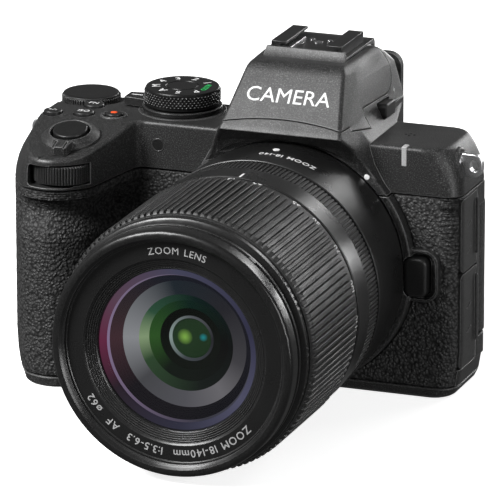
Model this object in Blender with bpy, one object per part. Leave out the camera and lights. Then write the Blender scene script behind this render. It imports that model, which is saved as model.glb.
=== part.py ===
"""Interchangeable lens camera with a finder hump, a pop-up flash, a swing-out monitor and a zoom lens.

X runs to the right seen from the front, Y to the back and Z up. The origin is on the base plane,
under the lens axis and in the plane of the image sensor. Sizes are in millimetres, and turn into
metres where a mesh is made. Neighbouring pieces keep a gap of GAP.
"""

import math

import bmesh
import bpy
from mathutils import Matrix, Vector

MM = 0.001
GAP = 0.3
NEARLY_FLAT = 0.00002

# Body.
SIDE_X = 48.5
GRIP_X = -78.5
FRONT_Y = -12.0
REAR_Y = 12.8
PLATE_TOP = 3.0
WALL_LOW = PLATE_TOP + GAP
SEAM_Z = 58.2
TOP_Z = 71.7
SKIN = 1.2
WALL = 1.8
GRIP_SLOPE = 0.227
GRIP_TILT = math.atan(GRIP_SLOPE)
GRIP_NORMAL = Vector((0, -math.sin(GRIP_TILT), math.cos(GRIP_TILT)))

# Lens axis, along -Y.
AXIS_Z = 36.8
FLANGE_Y = -16.0
THROAT_R = 27.5
MOUNT_R = 33.4
BOSS_R = 36.0
BORE_R = 28.5
ROUND = 36

# Controls on the top. A button's row is x, y and radius; the flash button's is y and z, low and high.
TOP_BUTTONS = {
    "exposure_button": (-71.2, -12.5, 2.6),
    "iso_button": (-62.5, -11.0, 2.8),
    "record_button": (-54.0, -9.6, 2.4),
    "picture_button": (-62.8, -2.5, 2.8),
}
FLASH_BUTTON = (4.5, 12.5, 74.2, 78.2)
SHUTTER = Vector((-60.5, -25.5, TOP_Z + GRIP_SLOPE * (-25.5 - FRONT_Y)))
MODE_DIAL = (-38.3, 3.0)
REAR_DIAL = (-67.9, 8.1)
FRONT_DIAL = (-61.0, -30.4)

# Pop-up flash: its pivot as (y, z), the round rear end about it, and where its lower edge runs.
FLASH_PIVOT = (11.4, 86.2)
FLASH_END_R = 6.6
FLASH_END_TURN = 150
FLASH_END_STEPS = 10
HOOD_LOW_FRONT = (-21.5, 77.0)
HOOD_LOW_REAR = (-5, 74.2)
HOOD_WALL = 1.7
HOOD_HALF_SLOT = 12.2
CORE_HALF = 11.7

# Controls on the front.
RELEASE = (36.5, 34.9)
RELEASE_SIZE = (6.2, 10.3)
RELEASE_CORNER = 3.0
PAD_SIZE = (14.0, 15.0)
PAD_CORNER = 4.0
PAD_SHIFT = 1.0
FN_BUTTONS = {"fn1_button": (-39.0, 47.0), "fn2_button": (-39.6, 33.0)}
FN_R = 3.2

# Controls on the back: x, z and radius.
REAR_BUTTONS = {
    "ae_lock_button": (-47.5, 51.0, 3.4),
    "menu_button": (-47.5, 11.0, 3.0),
    "play_button": (-66.0, 11.0, 3.0),
}
SELECTOR = (-57.0, 27.5)
SELECTOR_R = 9.0
OK_R = 3.6

# Monitor: its swing axis as (x, y), and the middle of its screen as (x, z).
SWING_AXIS = (43.2, 11.3)
SCREEN = (0.0, 31.5)
SHELL_SHIFT = -0.3

# Port covers on the right side, which swing about one upright line; the notch is the monitor hinge's.
COVER_BOXES = {"port_cover_upper": (36.0, 57.0), "port_cover_lower": (8.2, 35.4)}
COVER_PIVOT = (47.7, -7.8)
COVER_REAR_Y = 3.9
COVER_WALL = 1.6
PORT_ZONE = ((41.0, -12.0, 7.9), (60, 4.2, 57.3))
NOTCH = ((37.6, 5.9, 13.7), (60, 40, 51.8))

# Base.
SOCKET_Y = 5.8
SOCKET_R = 3.175
NOSE_R = 4.2
DOOR = (-72.8, -54.0, -29.0, 9.6)
DOOR_HINGE = (-53.4, 1.2)

# Strap lugs.
LUG_Y = -3.2
LUG_Z = 65.3
LUG_HALF = 1.0

# Finishes: colour, roughness and metallic value.
BLACK_PAINT = ((0.030, 0.030, 0.032), 0.42, 0.0)
LEATHER = ((0.022, 0.022, 0.024), 0.62, 0.0)
RUBBER = ((0.030, 0.031, 0.033), 0.70, 0.0)
GLOSS = ((0.012, 0.012, 0.014), 0.12, 0.0)
BLACK_METAL = ((0.045, 0.045, 0.048), 0.36, 0.6)
STEEL = ((0.62, 0.62, 0.64), 0.28, 1.0)
ALLOY = ((0.34, 0.35, 0.36), 0.45, 1.0)
GLASS = ((0.10, 0.12, 0.14), 0.04, 0.0)
BOARD = ((0.02, 0.12, 0.07), 0.50, 0.0)
SENSOR = ((0.10, 0.07, 0.16), 0.10, 0.2)
CELL = ((0.16, 0.16, 0.17), 0.55, 0.0)


def paint(obj, look):
    colour, roughness, metallic = look
    surface = bpy.data.materials.new(obj.name)
    surface.use_nodes = True
    shader = surface.node_tree.nodes["Principled BSDF"]
    shader.inputs["Base Color"].default_value = (*colour, 1)
    shader.inputs["Roughness"].default_value = roughness
    shader.inputs["Metallic"].default_value = metallic
    obj.data.materials.append(surface)


def solid(name, points, faces, look=None, pivot=(0, 0, 0)):
    """One closed mesh. Without a look it is a hidden helper for a Boolean."""
    pivot = Vector(pivot)
    mesh = bpy.data.meshes.new(name)
    mesh.from_pydata([(Vector(point) - pivot) * MM for point in points], [], faces)
    body = bmesh.new()
    body.from_mesh(mesh)
    bmesh.ops.connect_verts_nonplanar(body, angle_limit=NEARLY_FLAT, faces=body.faces)
    bmesh.ops.recalc_face_normals(body, faces=body.faces)
    body.to_mesh(mesh)
    body.free()
    mesh.shade_smooth()
    mesh.set_sharp_from_angle(angle=math.radians(32))
    obj = bpy.data.objects.new(name, mesh)
    obj.location = pivot * MM
    bpy.context.scene.collection.objects.link(obj)
    if look is None:
        obj.hide_render = True
        obj.display_type = "WIRE"
    else:
        paint(obj, look)
    return obj


def loft(name, loops, look=None, pivot=(0, 0, 0), closed=False):
    """A skin over loops of equal length, capped at both ends unless the loops close on themselves."""
    count = len(loops[0])
    rows = len(loops) if closed else len(loops) - 1
    faces = []
    for row in range(rows):
        after = (row + 1) % len(loops)
        for i in range(count):
            j = (i + 1) % count
            faces.append((row * count + i, row * count + j, after * count + j, after * count + i))
    if not closed:
        faces.append(tuple(range(count)))
        faces.append(tuple(range((len(loops) - 1) * count, len(loops) * count)))
    return solid(name, [point for loop in loops for point in loop], faces, look, pivot)


def stand(centre, axis, along=(1, 0, 0)):
    """The matrix of a local frame at centre: its Z on axis, its X near along."""
    z = Vector(axis).normalized()
    x = Vector(along)
    x = (x - z * x.dot(z)).normalized()
    return Matrix.Translation(centre) @ Matrix((x, z.cross(x), z)).transposed().to_4x4()


def turned(name, profile, frame, look=None, ring=False, count=ROUND, pivot=None):
    """A profile of (radius, height) points turned about the frame's Z; a ring's profile is closed."""
    loops = []
    for radius, height in profile:
        angles = [2 * math.pi * i / count for i in range(count)]
        loops.append([frame @ Vector((radius * math.cos(a), radius * math.sin(a), height)) for a in angles])
    return loft(name, loops, look, frame.translation if pivot is None else pivot, ring)


def slab(name, outline, frame, low, high, look=None, pivot=(0, 0, 0), bevel=0.0):
    """An outline in the frame's XY plane, from low to high, with its top edge bevelled."""
    levels = [(low, 0.0), (high, 0.0)]
    if bevel:
        levels = [(low, 0.0), (high - bevel, 0.0), (high, bevel)]
    loops = []
    for height, inset in levels:
        loops.append([frame @ Vector((x, y, height)) for x, y in shrink(outline, inset)])
    return loft(name, loops, look, pivot)


def box(name, low, high, look=None, pivot=(0, 0, 0)):
    outline = [(low[0], low[1]), (high[0], low[1]), (high[0], high[1]), (low[0], high[1])]
    return slab(name, outline, Matrix(), low[2], high[2], look, pivot)


def shrink(outline, distance):
    """An outline running anticlockwise, with every edge moved inwards."""
    moved = []
    for i, point in enumerate(outline):
        before = Vector(point) - Vector(outline[i - 1])
        after = Vector(outline[(i + 1) % len(outline)]) - Vector(point)
        inward_a = Vector((-before.y, before.x)).normalized()
        inward_b = Vector((-after.y, after.x)).normalized()
        step = (inward_a + inward_b) * distance / (1 + inward_a.dot(inward_b))
        moved.append((point[0] + step.x, point[1] + step.y))
    return moved


def rounded(corners):
    """An outline through corners (x, y, radius, steps), each replaced by an arc."""
    outline = []
    for i, (x, y, radius, steps) in enumerate(corners):
        corner = Vector((x, y))
        back = (Vector(corners[i - 1][:2]) - corner).normalized()
        ahead = (Vector(corners[(i + 1) % len(corners)][:2]) - corner).normalized()
        half = back.angle(ahead) / 2
        centre = corner + (back + ahead).normalized() * radius / math.sin(half)
        start = corner + back * radius / math.tan(half) - centre
        turn = start.angle_signed(corner + ahead * radius / math.tan(half) - centre)
        for k in range(steps + 1):
            arm = start.copy()
            arm.rotate(Matrix.Rotation(-turn * k / steps, 2))
            outline.append(tuple(centre + arm))
    return outline


def panel(width, height, radius, steps=3, centre=(0, 0)):
    """A rectangle with round corners."""
    x, y = width / 2, height / 2
    corners = [(x, -y), (x, y), (-x, y), (-x, -y)]
    return rounded([(centre[0] + a, centre[1] + b, radius, steps) for a, b in corners])


def change(obj, operation, *helpers):
    for helper in helpers:
        modifier = obj.modifiers.new(operation.lower(), "BOOLEAN")
        modifier.operation = operation
        modifier.object = helper
        modifier.solver = "EXACT"


def cut(obj, *helpers):
    change(obj, "DIFFERENCE", *helpers)


def keep(obj, *helpers):
    change(obj, "INTERSECT", *helpers)


def fuse(obj, *helpers):
    change(obj, "UNION", *helpers)


# Body outline, anticlockwise from above: x, y, radius, steps, and which way the sides tuck in at the base.
PLAN = [
    (SIDE_X, FRONT_Y, 5.5, 4, -1),
    (SIDE_X, REAR_Y, 3.0, 2, -1),
    (GRIP_X, REAR_Y, 6.0, 3, 1),
    (GRIP_X, -12.0, 30.0, 2, 1),
    (-76.6, -28.5, 14.0, 2, 1),
    (-70.5, -38.0, 8.0, 2, 0.5),
    (-60.5, -40.3, 9.0, 3, 0),
    (-52.6, -33.5, 12.0, 2, 0),
    (-48.4, -21.5, 22.0, 2, 0),
    (-45.6, FRONT_Y, 2.6, 3, 0),
]
TUCKS = [(0.0, 3.0), (1.2, 1.9), (PLATE_TOP, 1.2), (8.0, 0.4), (14.0, 0.0), (90.0, 0.0)]


def tuck_at(z):
    for (low, first), (high, second) in zip(TUCKS, TUCKS[1:]):
        if z <= high:
            return first + (second - first) * (max(z, low) - low) / (high - low)
    return 0.0


def plan(z, inset=0.0):
    """The body's outline at height z, pulled in by inset."""
    tuck = tuck_at(z)
    corners = [(x + side * tuck, y) for x, y, _, _, side in PLAN]
    corners = shrink(corners, inset)
    arcs = []
    for (x, y), (_, _, radius, steps, _) in zip(corners, PLAN):
        hollow = (x, y) == corners[-1]
        arcs.append((x, y, radius + inset if hollow else max(radius - inset, 0.5), steps))
    return [(x, y, z) for x, y in rounded(arcs)]


def body_loft(name, inset, low, high, look=None):
    levels = [low] + [z for z, _ in TUCKS if low < z < high] + [high]
    return loft(name, [plan(z, inset) for z in levels], look)


def body_shell(name, outer, inner, low, high, look):
    shell = body_loft(name, outer, low, high, look)
    cut(shell, body_loft("core", inner, low - 1, high + 1))
    return shell


def zone(corners, low=-5, high=120):
    """A helper prism over an outline given in plan."""
    return slab("zone", corners, Matrix(), low, high)


def side_prism(profile, half_width=40.0, grow=0.0, centre_x=0.0):
    """A helper prism along X over an outline given as (y, z), anticlockwise seen from +X."""
    return slab("side", shrink(profile, -grow), SIDE_VIEW, centre_x - half_width, centre_x + half_width)


SIDE_VIEW = stand((0, 0, 0), (1, 0, 0), (0, 1, 0))
LENS_VIEW = stand((0, 0, AXIS_Z), (0, -1, 0))
UPWARD = Vector((0, 0, 1))
DIOPTER_FRAME = stand((-21.3, 18.8, 77.0), (-1, 0, 0), (0, 1, 0))


def lens_disc(radius, near_y, far_y, count=ROUND):
    """A helper cylinder on the lens axis."""
    return turned("disc", [(radius, -near_y), (radius, -far_y)], LENS_VIEW, count=count)


def front_view(x, z):
    """A frame facing the front, with X across and Y up; its heights are distances in front of the sensor."""
    return stand((x, 0, z), (0, -1, 0))


def rear_view(x, z):
    """A frame facing the back; its heights are distances behind the sensor."""
    return stand((x, 0, z), (0, 1, 0), (-1, 0, 0))


# Front and rear covers: the front one ends at a line down each side.
RIGHT_SEAM_Y = -9.2
FRONT_ZONE = [
    (-90, -60), (60, -60), (60, RIGHT_SEAM_Y), (44.5, RIGHT_SEAM_Y), (44.5, -5), (-44, -5), (-44, 2),
    (-90, 2),
]
REAR_ZONE = [
    (44.5 + GAP, RIGHT_SEAM_Y + GAP), (60, RIGHT_SEAM_Y + GAP), (60, 40), (-90, 40), (-90, 2 + GAP),
    (-44 + GAP, 2 + GAP), (-44 + GAP, -5 + GAP), (44.5 + GAP, -5 + GAP),
]
LEATHER_LOW = WALL_LOW
LEATHER_HIGH = SEAM_Z - GAP


def release_outline(grow=0.0):
    width, height = RELEASE_SIZE
    return panel(width + 2 * grow, height + 2 * grow, RELEASE_CORNER + grow)


def pad_outline(grow=0.0):
    """The raised pad that the lens release stands in."""
    width, height = PAD_SIZE
    return panel(width + 2 * grow, height + 2 * grow, PAD_CORNER + grow, centre=(PAD_SHIFT, 0))


def front_hole(x, z, radius):
    return turned("hole", [(radius, 5), (radius, 30)], front_view(x, z), count=20)


def rear_hole(x, z, radius, count=20):
    return turned("hole", [(radius, 5), (radius, 30)], rear_view(x, z), count=count)


def boss_profile(back):
    """The ring that carries the lens mount, with a seat for the mount ring in its front face."""
    face, seat = 15.4, 13.2
    return [
        (BORE_R, back), (BOSS_R, back), (BOSS_R, face - 0.4), (BOSS_R - 0.5, face),
        (MOUNT_R + GAP, face), (MOUNT_R + GAP, seat), (BORE_R, seat),
    ]


def make_front():
    cover = body_shell("front_cover", SKIN + GAP, SKIN + GAP + WALL, LEATHER_LOW, LEATHER_HIGH, BLACK_PAINT)
    keep(cover, zone(FRONT_ZONE))
    boss = turned("boss", boss_profile(9.3), LENS_VIEW, ring=True)
    cut(boss, box("above", (-50, -30, LEATHER_HIGH), (60, 30, 90)))
    cut(boss, box("below", (-50, FRONT_Y - GAP, -9), (60, 30, WALL_LOW + 0.2)))
    pad = slab("pad", pad_outline(), front_view(*RELEASE), 9.5, 14.0)
    cut(cover, lens_disc(BORE_R, 20, -20))
    fuse(cover, boss)
    cut(pad, lens_disc(BOSS_R - 1, 20, -40))
    fuse(cover, pad)
    cut(cover, slab("hole", release_outline(GAP), front_view(*RELEASE), 5, 30))
    leathers = [("grip_leather", (-90, -60), (-5, 2)), ("front_leather", (5, -60), (60, RIGHT_SEAM_Y))]
    for name, low, high in leathers:
        leather = body_shell(name, 0.0, SKIN, LEATHER_LOW, LEATHER_HIGH, LEATHER)
        keep(leather, box("side", (*low, -5), (*high, 90)))
        cut(leather, lens_disc(BOSS_R + GAP, 0, -30))
        if name == "front_leather":
            cut(leather, slab("hole", pad_outline(GAP), front_view(*RELEASE), 5, 30))
            continue
        for x, z in FN_BUTTONS.values():
            cut(leather, front_hole(x, z, FN_R + GAP))
    for x, z in FN_BUTTONS.values():
        cut(cover, front_hole(x, z, FN_R + GAP))


def make_front_buttons():
    x, z = RELEASE
    pivot = (x, FRONT_Y, z)
    slab("lens_release", release_outline(), front_view(x, z), 9.5, 15.6, BLACK_PAINT, pivot, bevel=0.5)
    for name, (x, z) in FN_BUTTONS.items():
        cap = [(FN_R + 0.8, 7.8), (FN_R + 0.8, 8.4), (FN_R, 8.4), (FN_R, 12.4), (FN_R - 0.4, 12.8)]
        turned(name, cap, front_view(x, z), BLACK_PAINT, count=20, pivot=(x, FRONT_Y, z))


def make_rear():
    cover = body_shell("rear_cover", 0.0, 2.0, LEATHER_LOW, LEATHER_HIGH, BLACK_PAINT)
    keep(cover, zone(REAR_ZONE))
    side, back = SIDE_X - 0.4, REAR_Y - 0.2
    post = rounded([(35.5, 4.5, 0.5, 1), (side, 4.5, 0.5, 1), (side, back, 2.5, 2), (35.5, back, 0.5, 1)])
    fuse(cover, slab("post", post, Matrix(), 11.5, 54.0))
    cut(cover, box("notch", *NOTCH), box("window", *PORT_ZONE))
    for x, z, radius in REAR_BUTTONS.values():
        cut(cover, rear_hole(x, z, radius + GAP))
    cut(cover, rear_hole(*SELECTOR, SELECTOR_R + GAP, 28))
    pad = rounded([(76.0, 38.5, 4, 3), (76.0, 56.5, 3, 3), (60.0, 56.5, 3, 3), (63.5, 38.5, 4, 3)])
    slab("thumb_rest", pad, rear_view(0, 0), REAR_Y + GAP, REAR_Y + 3.4, RUBBER, bevel=1.2)


def make_rear_buttons():
    for name, (x, z, radius) in REAR_BUTTONS.items():
        flange, top = REAR_Y - 2.6, REAR_Y + 1.0
        cap = [
            (radius + 0.8, flange - 1), (radius + 0.8, flange), (radius, flange), (radius, top - 0.4),
            (radius - 0.4, top),
        ]
        turned(name, cap, rear_view(x, z), BLACK_PAINT, count=20, pivot=(x, REAR_Y, z))
    flange, top = REAR_Y - 2.6, REAR_Y + 1.4
    pad = [
        (OK_R + GAP, flange - 1), (SELECTOR_R + 0.8, flange - 1), (SELECTOR_R + 0.8, flange),
        (SELECTOR_R, flange), (SELECTOR_R, top - 0.6), (SELECTOR_R - 0.6, top), (OK_R + 1.2, top - 0.7),
        (OK_R + GAP, top - 0.9),
    ]
    x, z = SELECTOR
    turned("multi_selector", pad, rear_view(x, z), BLACK_PAINT, ring=True, count=28, pivot=(x, REAR_Y, z))
    cap = [(OK_R, flange - 1), (OK_R, top - 0.8), (OK_R - 0.3, top - 0.5)]
    turned("ok_button", cap, rear_view(x, z), BLACK_PAINT, count=20, pivot=(x, REAR_Y, z))


def make_ports():
    for name, (low, high) in COVER_BOXES.items():
        cover = body_loft(name, 0.0, low, high, RUBBER)
        cover.location = Vector((*COVER_PIVOT, 0)) * MM
        for vertex in cover.data.vertices:
            vertex.co -= cover.location
        cut(cover, body_loft("core", COVER_WALL, low - 1, high + 1))
        keep(cover, box("edge", (46.0, RIGHT_SEAM_Y + 0.6, 0), (60, COVER_REAR_Y, 90)))
    block = box("port_block", (41.3, -6.8, 8.2), (45.6, 3.4, 57.0), BLACK_METAL)
    sockets = [(4.4, 2.4, 51.0), (4.4, 2.4, 44.0), (4.0, 3.0, 30.0), (4.6, 2.8, 19.0), (4.6, 2.8, 12.5)]
    for height, width, z in sockets:
        low, high = (43.6, -1.8 - width / 2, z - height / 2), (50, -1.8 + width / 2, z + height / 2)
        cut(block, box("socket", low, high))


def make_monitor():
    x, y = SWING_AXIS
    pivot = (x, y, 0)
    barrel = turned("monitor_hinge", [(5.0, 14.0), (5.0, 51.5)], stand(pivot, UPWARD), BLACK_METAL, count=28)
    fuse(barrel, box("arm", (37.9, 13.3, 16.0), (x, 16.2, 49.5)))
    screen_x, screen_z = SCREEN
    screen = rear_view(screen_x, screen_z)
    around = rear_view(screen_x + SHELL_SHIFT, screen_z)
    shell = slab("monitor_shell", panel(75.2, 51.0, 2.5), around, REAR_Y + GAP, 18.3, BLACK_PAINT, pivot, 0.8)
    cut(shell, slab("pocket", panel(70.6, 46.6, 1.6), screen, 17.1, 30))
    slab("monitor_glass", panel(70.0, 46.0, 1.3), screen, 17.4, 18.2, GLOSS, pivot)


def door_outline(grow=0.0):
    left, right, front, back = DOOR
    outline = rounded([
        (right, front, 2, 2), (right, back, 1.5, 2), (left + 3, back, 3, 2), (left + 1.2, -20, 20, 2),
        (left + 5, front, 5, 2),
    ])
    return shrink(outline, -grow)


def make_base():
    levels = [(0.0, 0.4), (0.4, 0.0), (PLATE_TOP, 0.0)]
    plate = loft("base_plate", [plan(z, inset) for z, inset in levels], BLACK_PAINT)
    cut(plate, slab("door", door_outline(GAP), Matrix(), -5, 10))
    cut(plate, box("hinge", (-54.5, -29.4, -5), (-51.6, 10.0, 10)))
    socket = stand((0, SOCKET_Y, 0), UPWARD)
    cut(plate, turned("hole", [(NOSE_R + GAP, -5), (NOSE_R + GAP, 9)], socket, count=28))
    profile = [(NOSE_R, 0), (NOSE_R, WALL_LOW), (4.9, WALL_LOW), (4.9, 8.0)]
    bush = turned("tripod_bush", profile, socket, STEEL, count=28)
    cut(bush, turned("thread", [(SOCKET_R, -2), (SOCKET_R, 6.0)], socket, count=28))
    hinge_x, hinge_z = DOOR_HINGE
    door = slab("battery_door", door_outline(), Matrix(), 0.2, 2.8, BLACK_PAINT, (hinge_x, 0, hinge_z))
    barrel = turned("barrel", [(0.95, -26.0), (0.95, 7.0)], stand((hinge_x, 0, hinge_z), (0, 1, 0)), count=14)
    fuse(door, barrel)


def make_inside():
    frame = box("chassis", (-42.5, -7.1, 9.0), (40.5, -4.7, 56.0), ALLOY)
    fuse(frame, box("wing", (-42.4, -6.9, 9.2), (-40.3, 9.0, 55.8)))
    fuse(frame, box("sill", (-42.2, -6.8, 9.1), (34.5, 8.8, 11.0)))
    cut(frame, lens_disc(23.5, 0, -30, 32))
    shutter = slab("shutter_unit", panel(56, 38, 2), front_view(0, AXIS_Z), 1.5, 4.4, BLACK_METAL)
    cut(shutter, slab("gate", panel(24.5, 16.8, 0.5), front_view(0, AXIS_Z), -5, 20))
    slab("image_sensor", panel(30, 24, 1), front_view(0, AXIS_Z), -1.6, 0.6, SENSOR)
    slab("main_board", panel(66, 42, 1), front_view(0, 35), -6.6, -5.0, BOARD)
    box("battery", (-71.6, -28.8, 4.0), (-60.2, 8.0, 49.5), CELL)
    box("memory_card", (-58.0, -18.0, 4.0), (-55.9, 6.0, 36.0), CELL)
    mount = [
        (THROAT_R, 13.5), (MOUNT_R, 13.5), (MOUNT_R, 15.7), (MOUNT_R - 0.3, -FLANGE_Y), (THROAT_R, -FLANGE_Y),
    ]
    turned("mount_ring", mount, LENS_VIEW, STEEL, ring=True)


# Hump: height, then (half width, y) of its front corner, of the bend in its flank and of its rear corner.
HUMP = [
    (SEAM_Z + 0.4, (27.8, -13.6), (28.4, -11.0), (27.0, 11.0)),
    (66.0, (23.0, -16.2), (24.2, -11.0), (24.5, 12.0)),
    (TOP_Z, (20.2, -19.5), (22.5, -11.0), (22.4, 13.0)),
    (75.2, (17.9, -23.0), (19.4, -11.0), (21.0, 22.5)),
    (77.0, (17.3, -21.5), (18.3, -9.0), (20.6, 24.0)),
    (86.2, (15.2, -13.6), (16.0, -4.0), (18.0, 24.0)),
    (90.4, (14.3, -9.9), (14.7, -3.0), (15.8, 19.5)),
    (91.6, (13.4, -8.4), (13.7, -3.0), (14.6, 17.6)),
]
HUMP_FRONT_R = 1.6
HUMP_FLANK_R = 6.0
HUMP_REAR_R = 2.4
HUMP_SHOULDER_Z = 90
LENS_CLEAR_R = 36.2


def hump_loft(name, inset=0.0, look=None, pivot=(0, 0, 0)):
    radii = [HUMP_FRONT_R, HUMP_FLANK_R, HUMP_REAR_R]
    loops = []
    for z, *half in HUMP:
        height = z - inset if z > HUMP_SHOULDER_Z else z
        corners = shrink(half + [(-x, y) for x, y in reversed(half)], inset)
        rounding = [max(radius - inset, 0.4) for radius in radii + radii[::-1]]
        outline = rounded([(x, y, radius, 3) for (x, y), radius in zip(corners, rounding)])
        loops.append([(x, y, height) for x, y in outline])
    return loft(name, loops, look, pivot)


def hood_profile():
    """The flash hood's side view as (y, z); its rear end is round about the pivot."""
    y, z = FLASH_PIVOT
    arc = []
    for k in range(FLASH_END_STEPS + 1):
        angle = math.radians(-90 + FLASH_END_TURN * k / FLASH_END_STEPS)
        arc.append((y + FLASH_END_R * math.cos(angle), z + FLASH_END_R * math.sin(angle)))
    edge = [(-40, HOOD_LOW_FRONT[1]), HOOD_LOW_FRONT, HOOD_LOW_REAR, (HOOD_LOW_REAR[0], z - FLASH_END_R)]
    return edge + arc + [(y, 110), (-40, 110)]


def grip_wedge(drop):
    """A helper above the sloping grip top, lowered by drop."""
    y, z = FRONT_Y + 0.001, TOP_Z - drop
    reach = 60
    slope = [(y, z), (y, 120), (y - reach, 120), (y - reach, z - GRIP_SLOPE * reach)]
    return slab("wedge", slope, SIDE_VIEW, -100, -42)


def button_hole(point, axis, radius, low=-4.0, high=8.0):
    return turned("hole", [(radius, low), (radius, high)], stand(point, axis), count=20)


def make_top():
    levels = [(SEAM_Z, 0.0), (TOP_Z - 1.0, 0.0), (TOP_Z - 0.3, 0.35), (TOP_Z, 1.1)]
    cover = loft("top_cover", [plan(z, inset) for z, inset in levels], BLACK_PAINT)
    inner = loft("inner", [plan(SEAM_Z - 1, 2.0), plan(TOP_Z - 2.2, 2.0)])
    cut(inner, grip_wedge(2.3))
    cut(cover, grip_wedge(0.0), inner)
    back = rounded([(20.8, 11, 1, 1), (20.8, 24, 3, 3), (-20.8, 24, 3, 3), (-20.8, 11, 1, 1)])
    rear_block = slab("block", back, Matrix(), 66.5, 76.5)
    upper_boss = turned("boss", boss_profile(11.4), LENS_VIEW, ring=True)
    cut(upper_boss, box("under", (-50, -30, -20), (50, 30, SEAM_Z + 0.2)))
    outer = hump_loft("hump")
    cut(outer, side_prism(hood_profile(), grow=GAP))
    core = box("core", (-CORE_HALF, -3.0, 68.0), (CORE_HALF, 22.0, 92.2))
    cut(outer, lens_disc(LENS_CLEAR_R, FLANGE_Y - 0.5, -40), lens_disc(MOUNT_R + 1.2, -12.8, -40))
    fuse(cover, outer, rear_block, core)
    cut(cover, lens_disc(BORE_R, 1, -40))
    fuse(cover, upper_boss)
    cut(cover, box("cavity", (-19.5, -10.6, 50), (19.5, 9, 69.2)))
    cut(cover, box("tunnel", (-9.6, -1.0, 72.8), (9.6, 40, 82.8)))
    cut(cover, box("shaft", (-8.6, 0.0, 60), (8.6, 15, 74)))
    make_top_holes(cover)


def make_top_holes(cover):
    x, y = REAR_DIAL
    cut(cover, button_hole((x, y, TOP_Z), UPWARD, 8.4, -6.4, 5))
    cut(cover, box("window", (FRONT_DIAL[0] - 8.2, -60, 59.0), (FRONT_DIAL[0] + 8.2, -34, 64.2)))
    cut(cover, button_hole((*FRONT_DIAL, 0), UPWARD, 8.8, 59.0, 64.2))
    cut(cover, turned("hole", [(1.7, -3), (1.7, 9)], DIOPTER_FRAME, count=16))
    cut(cover, button_hole((*MODE_DIAL, TOP_Z), UPWARD, 3.4))
    cut(cover, button_hole(SHUTTER, GRIP_NORMAL, 3.8, -6.0, 8.0))
    cut(cover, turned("seat", [(5.3, -0.9), (5.3, 8.0)], stand(SHUTTER, GRIP_NORMAL), count=28))
    for x, y, radius in TOP_BUTTONS.values():
        cut(cover, button_hole((x, y, TOP_Z), UPWARD, radius + GAP))
    low_y, high_y, low_z, high_z = FLASH_BUTTON
    cut(cover, box("slot", (17.2, low_y - GAP, low_z - GAP), (30, high_y + GAP, high_z + GAP)))


def make_top_controls():
    for name, (x, y, radius) in TOP_BUTTONS.items():
        cap = [(radius + 0.4, -4.2), (radius + 0.4, -3.2), (radius, -3.2), (radius, 0.4), (radius - 0.4, 0.8)]
        turned(name, cap, stand((x, y, TOP_Z), UPWARD), BLACK_PAINT, count=20)
    frame = stand(SHUTTER, GRIP_NORMAL)
    cap = [(3.4, -2.8), (3.4, 0.4), (4.8, 0.4), (4.9, 2.6), (4.4, 3.2)]
    turned("shutter_button", cap, frame, BLACK_METAL, count=28)
    collar = [(5.6, 0.4), (8.2, 0.4), (8.2, 2.0), (7.6, 2.6), (5.6, 2.6)]
    lever = turned("power_lever", collar, frame, BLACK_PAINT, ring=True, count=32)
    tab = [(-2.8, -7.0), (2.8, -7.0), (1.8, -11.2), (-1.8, -11.2)]
    fuse(lever, slab("tab", tab[::-1], frame, 0.7, 3.2))
    make_mode_dial()
    rear = stand((*REAR_DIAL, TOP_Z), UPWARD)
    turned("rear_dial", [(8.1, -5.7), (8.1, 0.5), (7.7, 0.9)], rear, BLACK_METAL, count=36)
    front = stand((*FRONT_DIAL, 0), UPWARD)
    turned("front_dial", [(8.4, 59.4), (8.4, 63.8)], front, BLACK_METAL, count=40)
    low_y, high_y, low_z, high_z = FLASH_BUTTON
    box("flash_button", (18.4, low_y, low_z), (21.6, high_y, high_z), BLACK_PAINT, (20, 8.5, 76.2))


def make_mode_dial():
    """The mode dial, and under it the ring of the photo and video lever with its tip to the left."""
    frame = stand((*MODE_DIAL, TOP_Z), UPWARD)
    knob = [(3.0, -4.0), (3.0, 2.2), (10.0, 2.2), (10.6, 2.5), (10.6, 5.6), (10.1, 6.1)]
    dial = turned("mode_dial", knob, frame, BLACK_METAL, count=40)
    groove = [(8.2, 5.7), (8.6, 5.7), (8.6, 7), (8.2, 7)]
    cut(dial, turned("groove", groove, frame, ring=True, count=40))
    ring = [(3.5, 0.3), (11.6, 0.3), (11.6, 1.6), (11.2, 1.9), (3.5, 1.9)]
    lever = turned("photo_video_lever", ring, frame, BLACK_METAL, ring=True, count=40)
    tip = slab("tip", [(-16.6, -2.6), (-10.0, -3.6), (-10.0, 3.6), (-16.6, 2.6)], frame, 0.5, 2.6)
    cut(tip, slab("clear", [(-11.0, -9), (0, -9), (0, 9), (-11.0, 9)], frame, 1.9, 4))
    fuse(lever, tip)


def make_hood():
    y, z = FLASH_PIVOT
    pivot = (0, y, z)
    hood = hump_loft("flash_hood", 0.0, BLACK_PAINT, pivot)
    inner = hump_loft("inner", HOOD_WALL)
    cut(hood, inner)
    keep(hood, side_prism(hood_profile()))
    cut(hood, box("slot", (-HOOD_HALF_SLOT, -5.5, 76.0), (HOOD_HALF_SLOT, 40, 120)))
    lamp = [(-16.0, 79.4), (-8.8, 79.4), (-8.8, 86.6), (-10.2, 86.6)]
    slab("flash_lamp", lamp, SIDE_VIEW, -11, 11, GLASS, pivot)
    shoe = box("hot_shoe", (-10.4, -1.0, 92.5), (10.4, 16.9, 95.3), STEEL)
    cut(shoe, box("groove", (-9.4, -0.4, 93.2), (9.4, 30, 94.6)))
    cut(shoe, box("mouth", (-6.0, -0.4, 94), (6.0, 30, 97)))
    fuse(shoe, box("seat", (-5.6, 0.4, 93.0), (5.6, 16.4, 93.4)))


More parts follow.
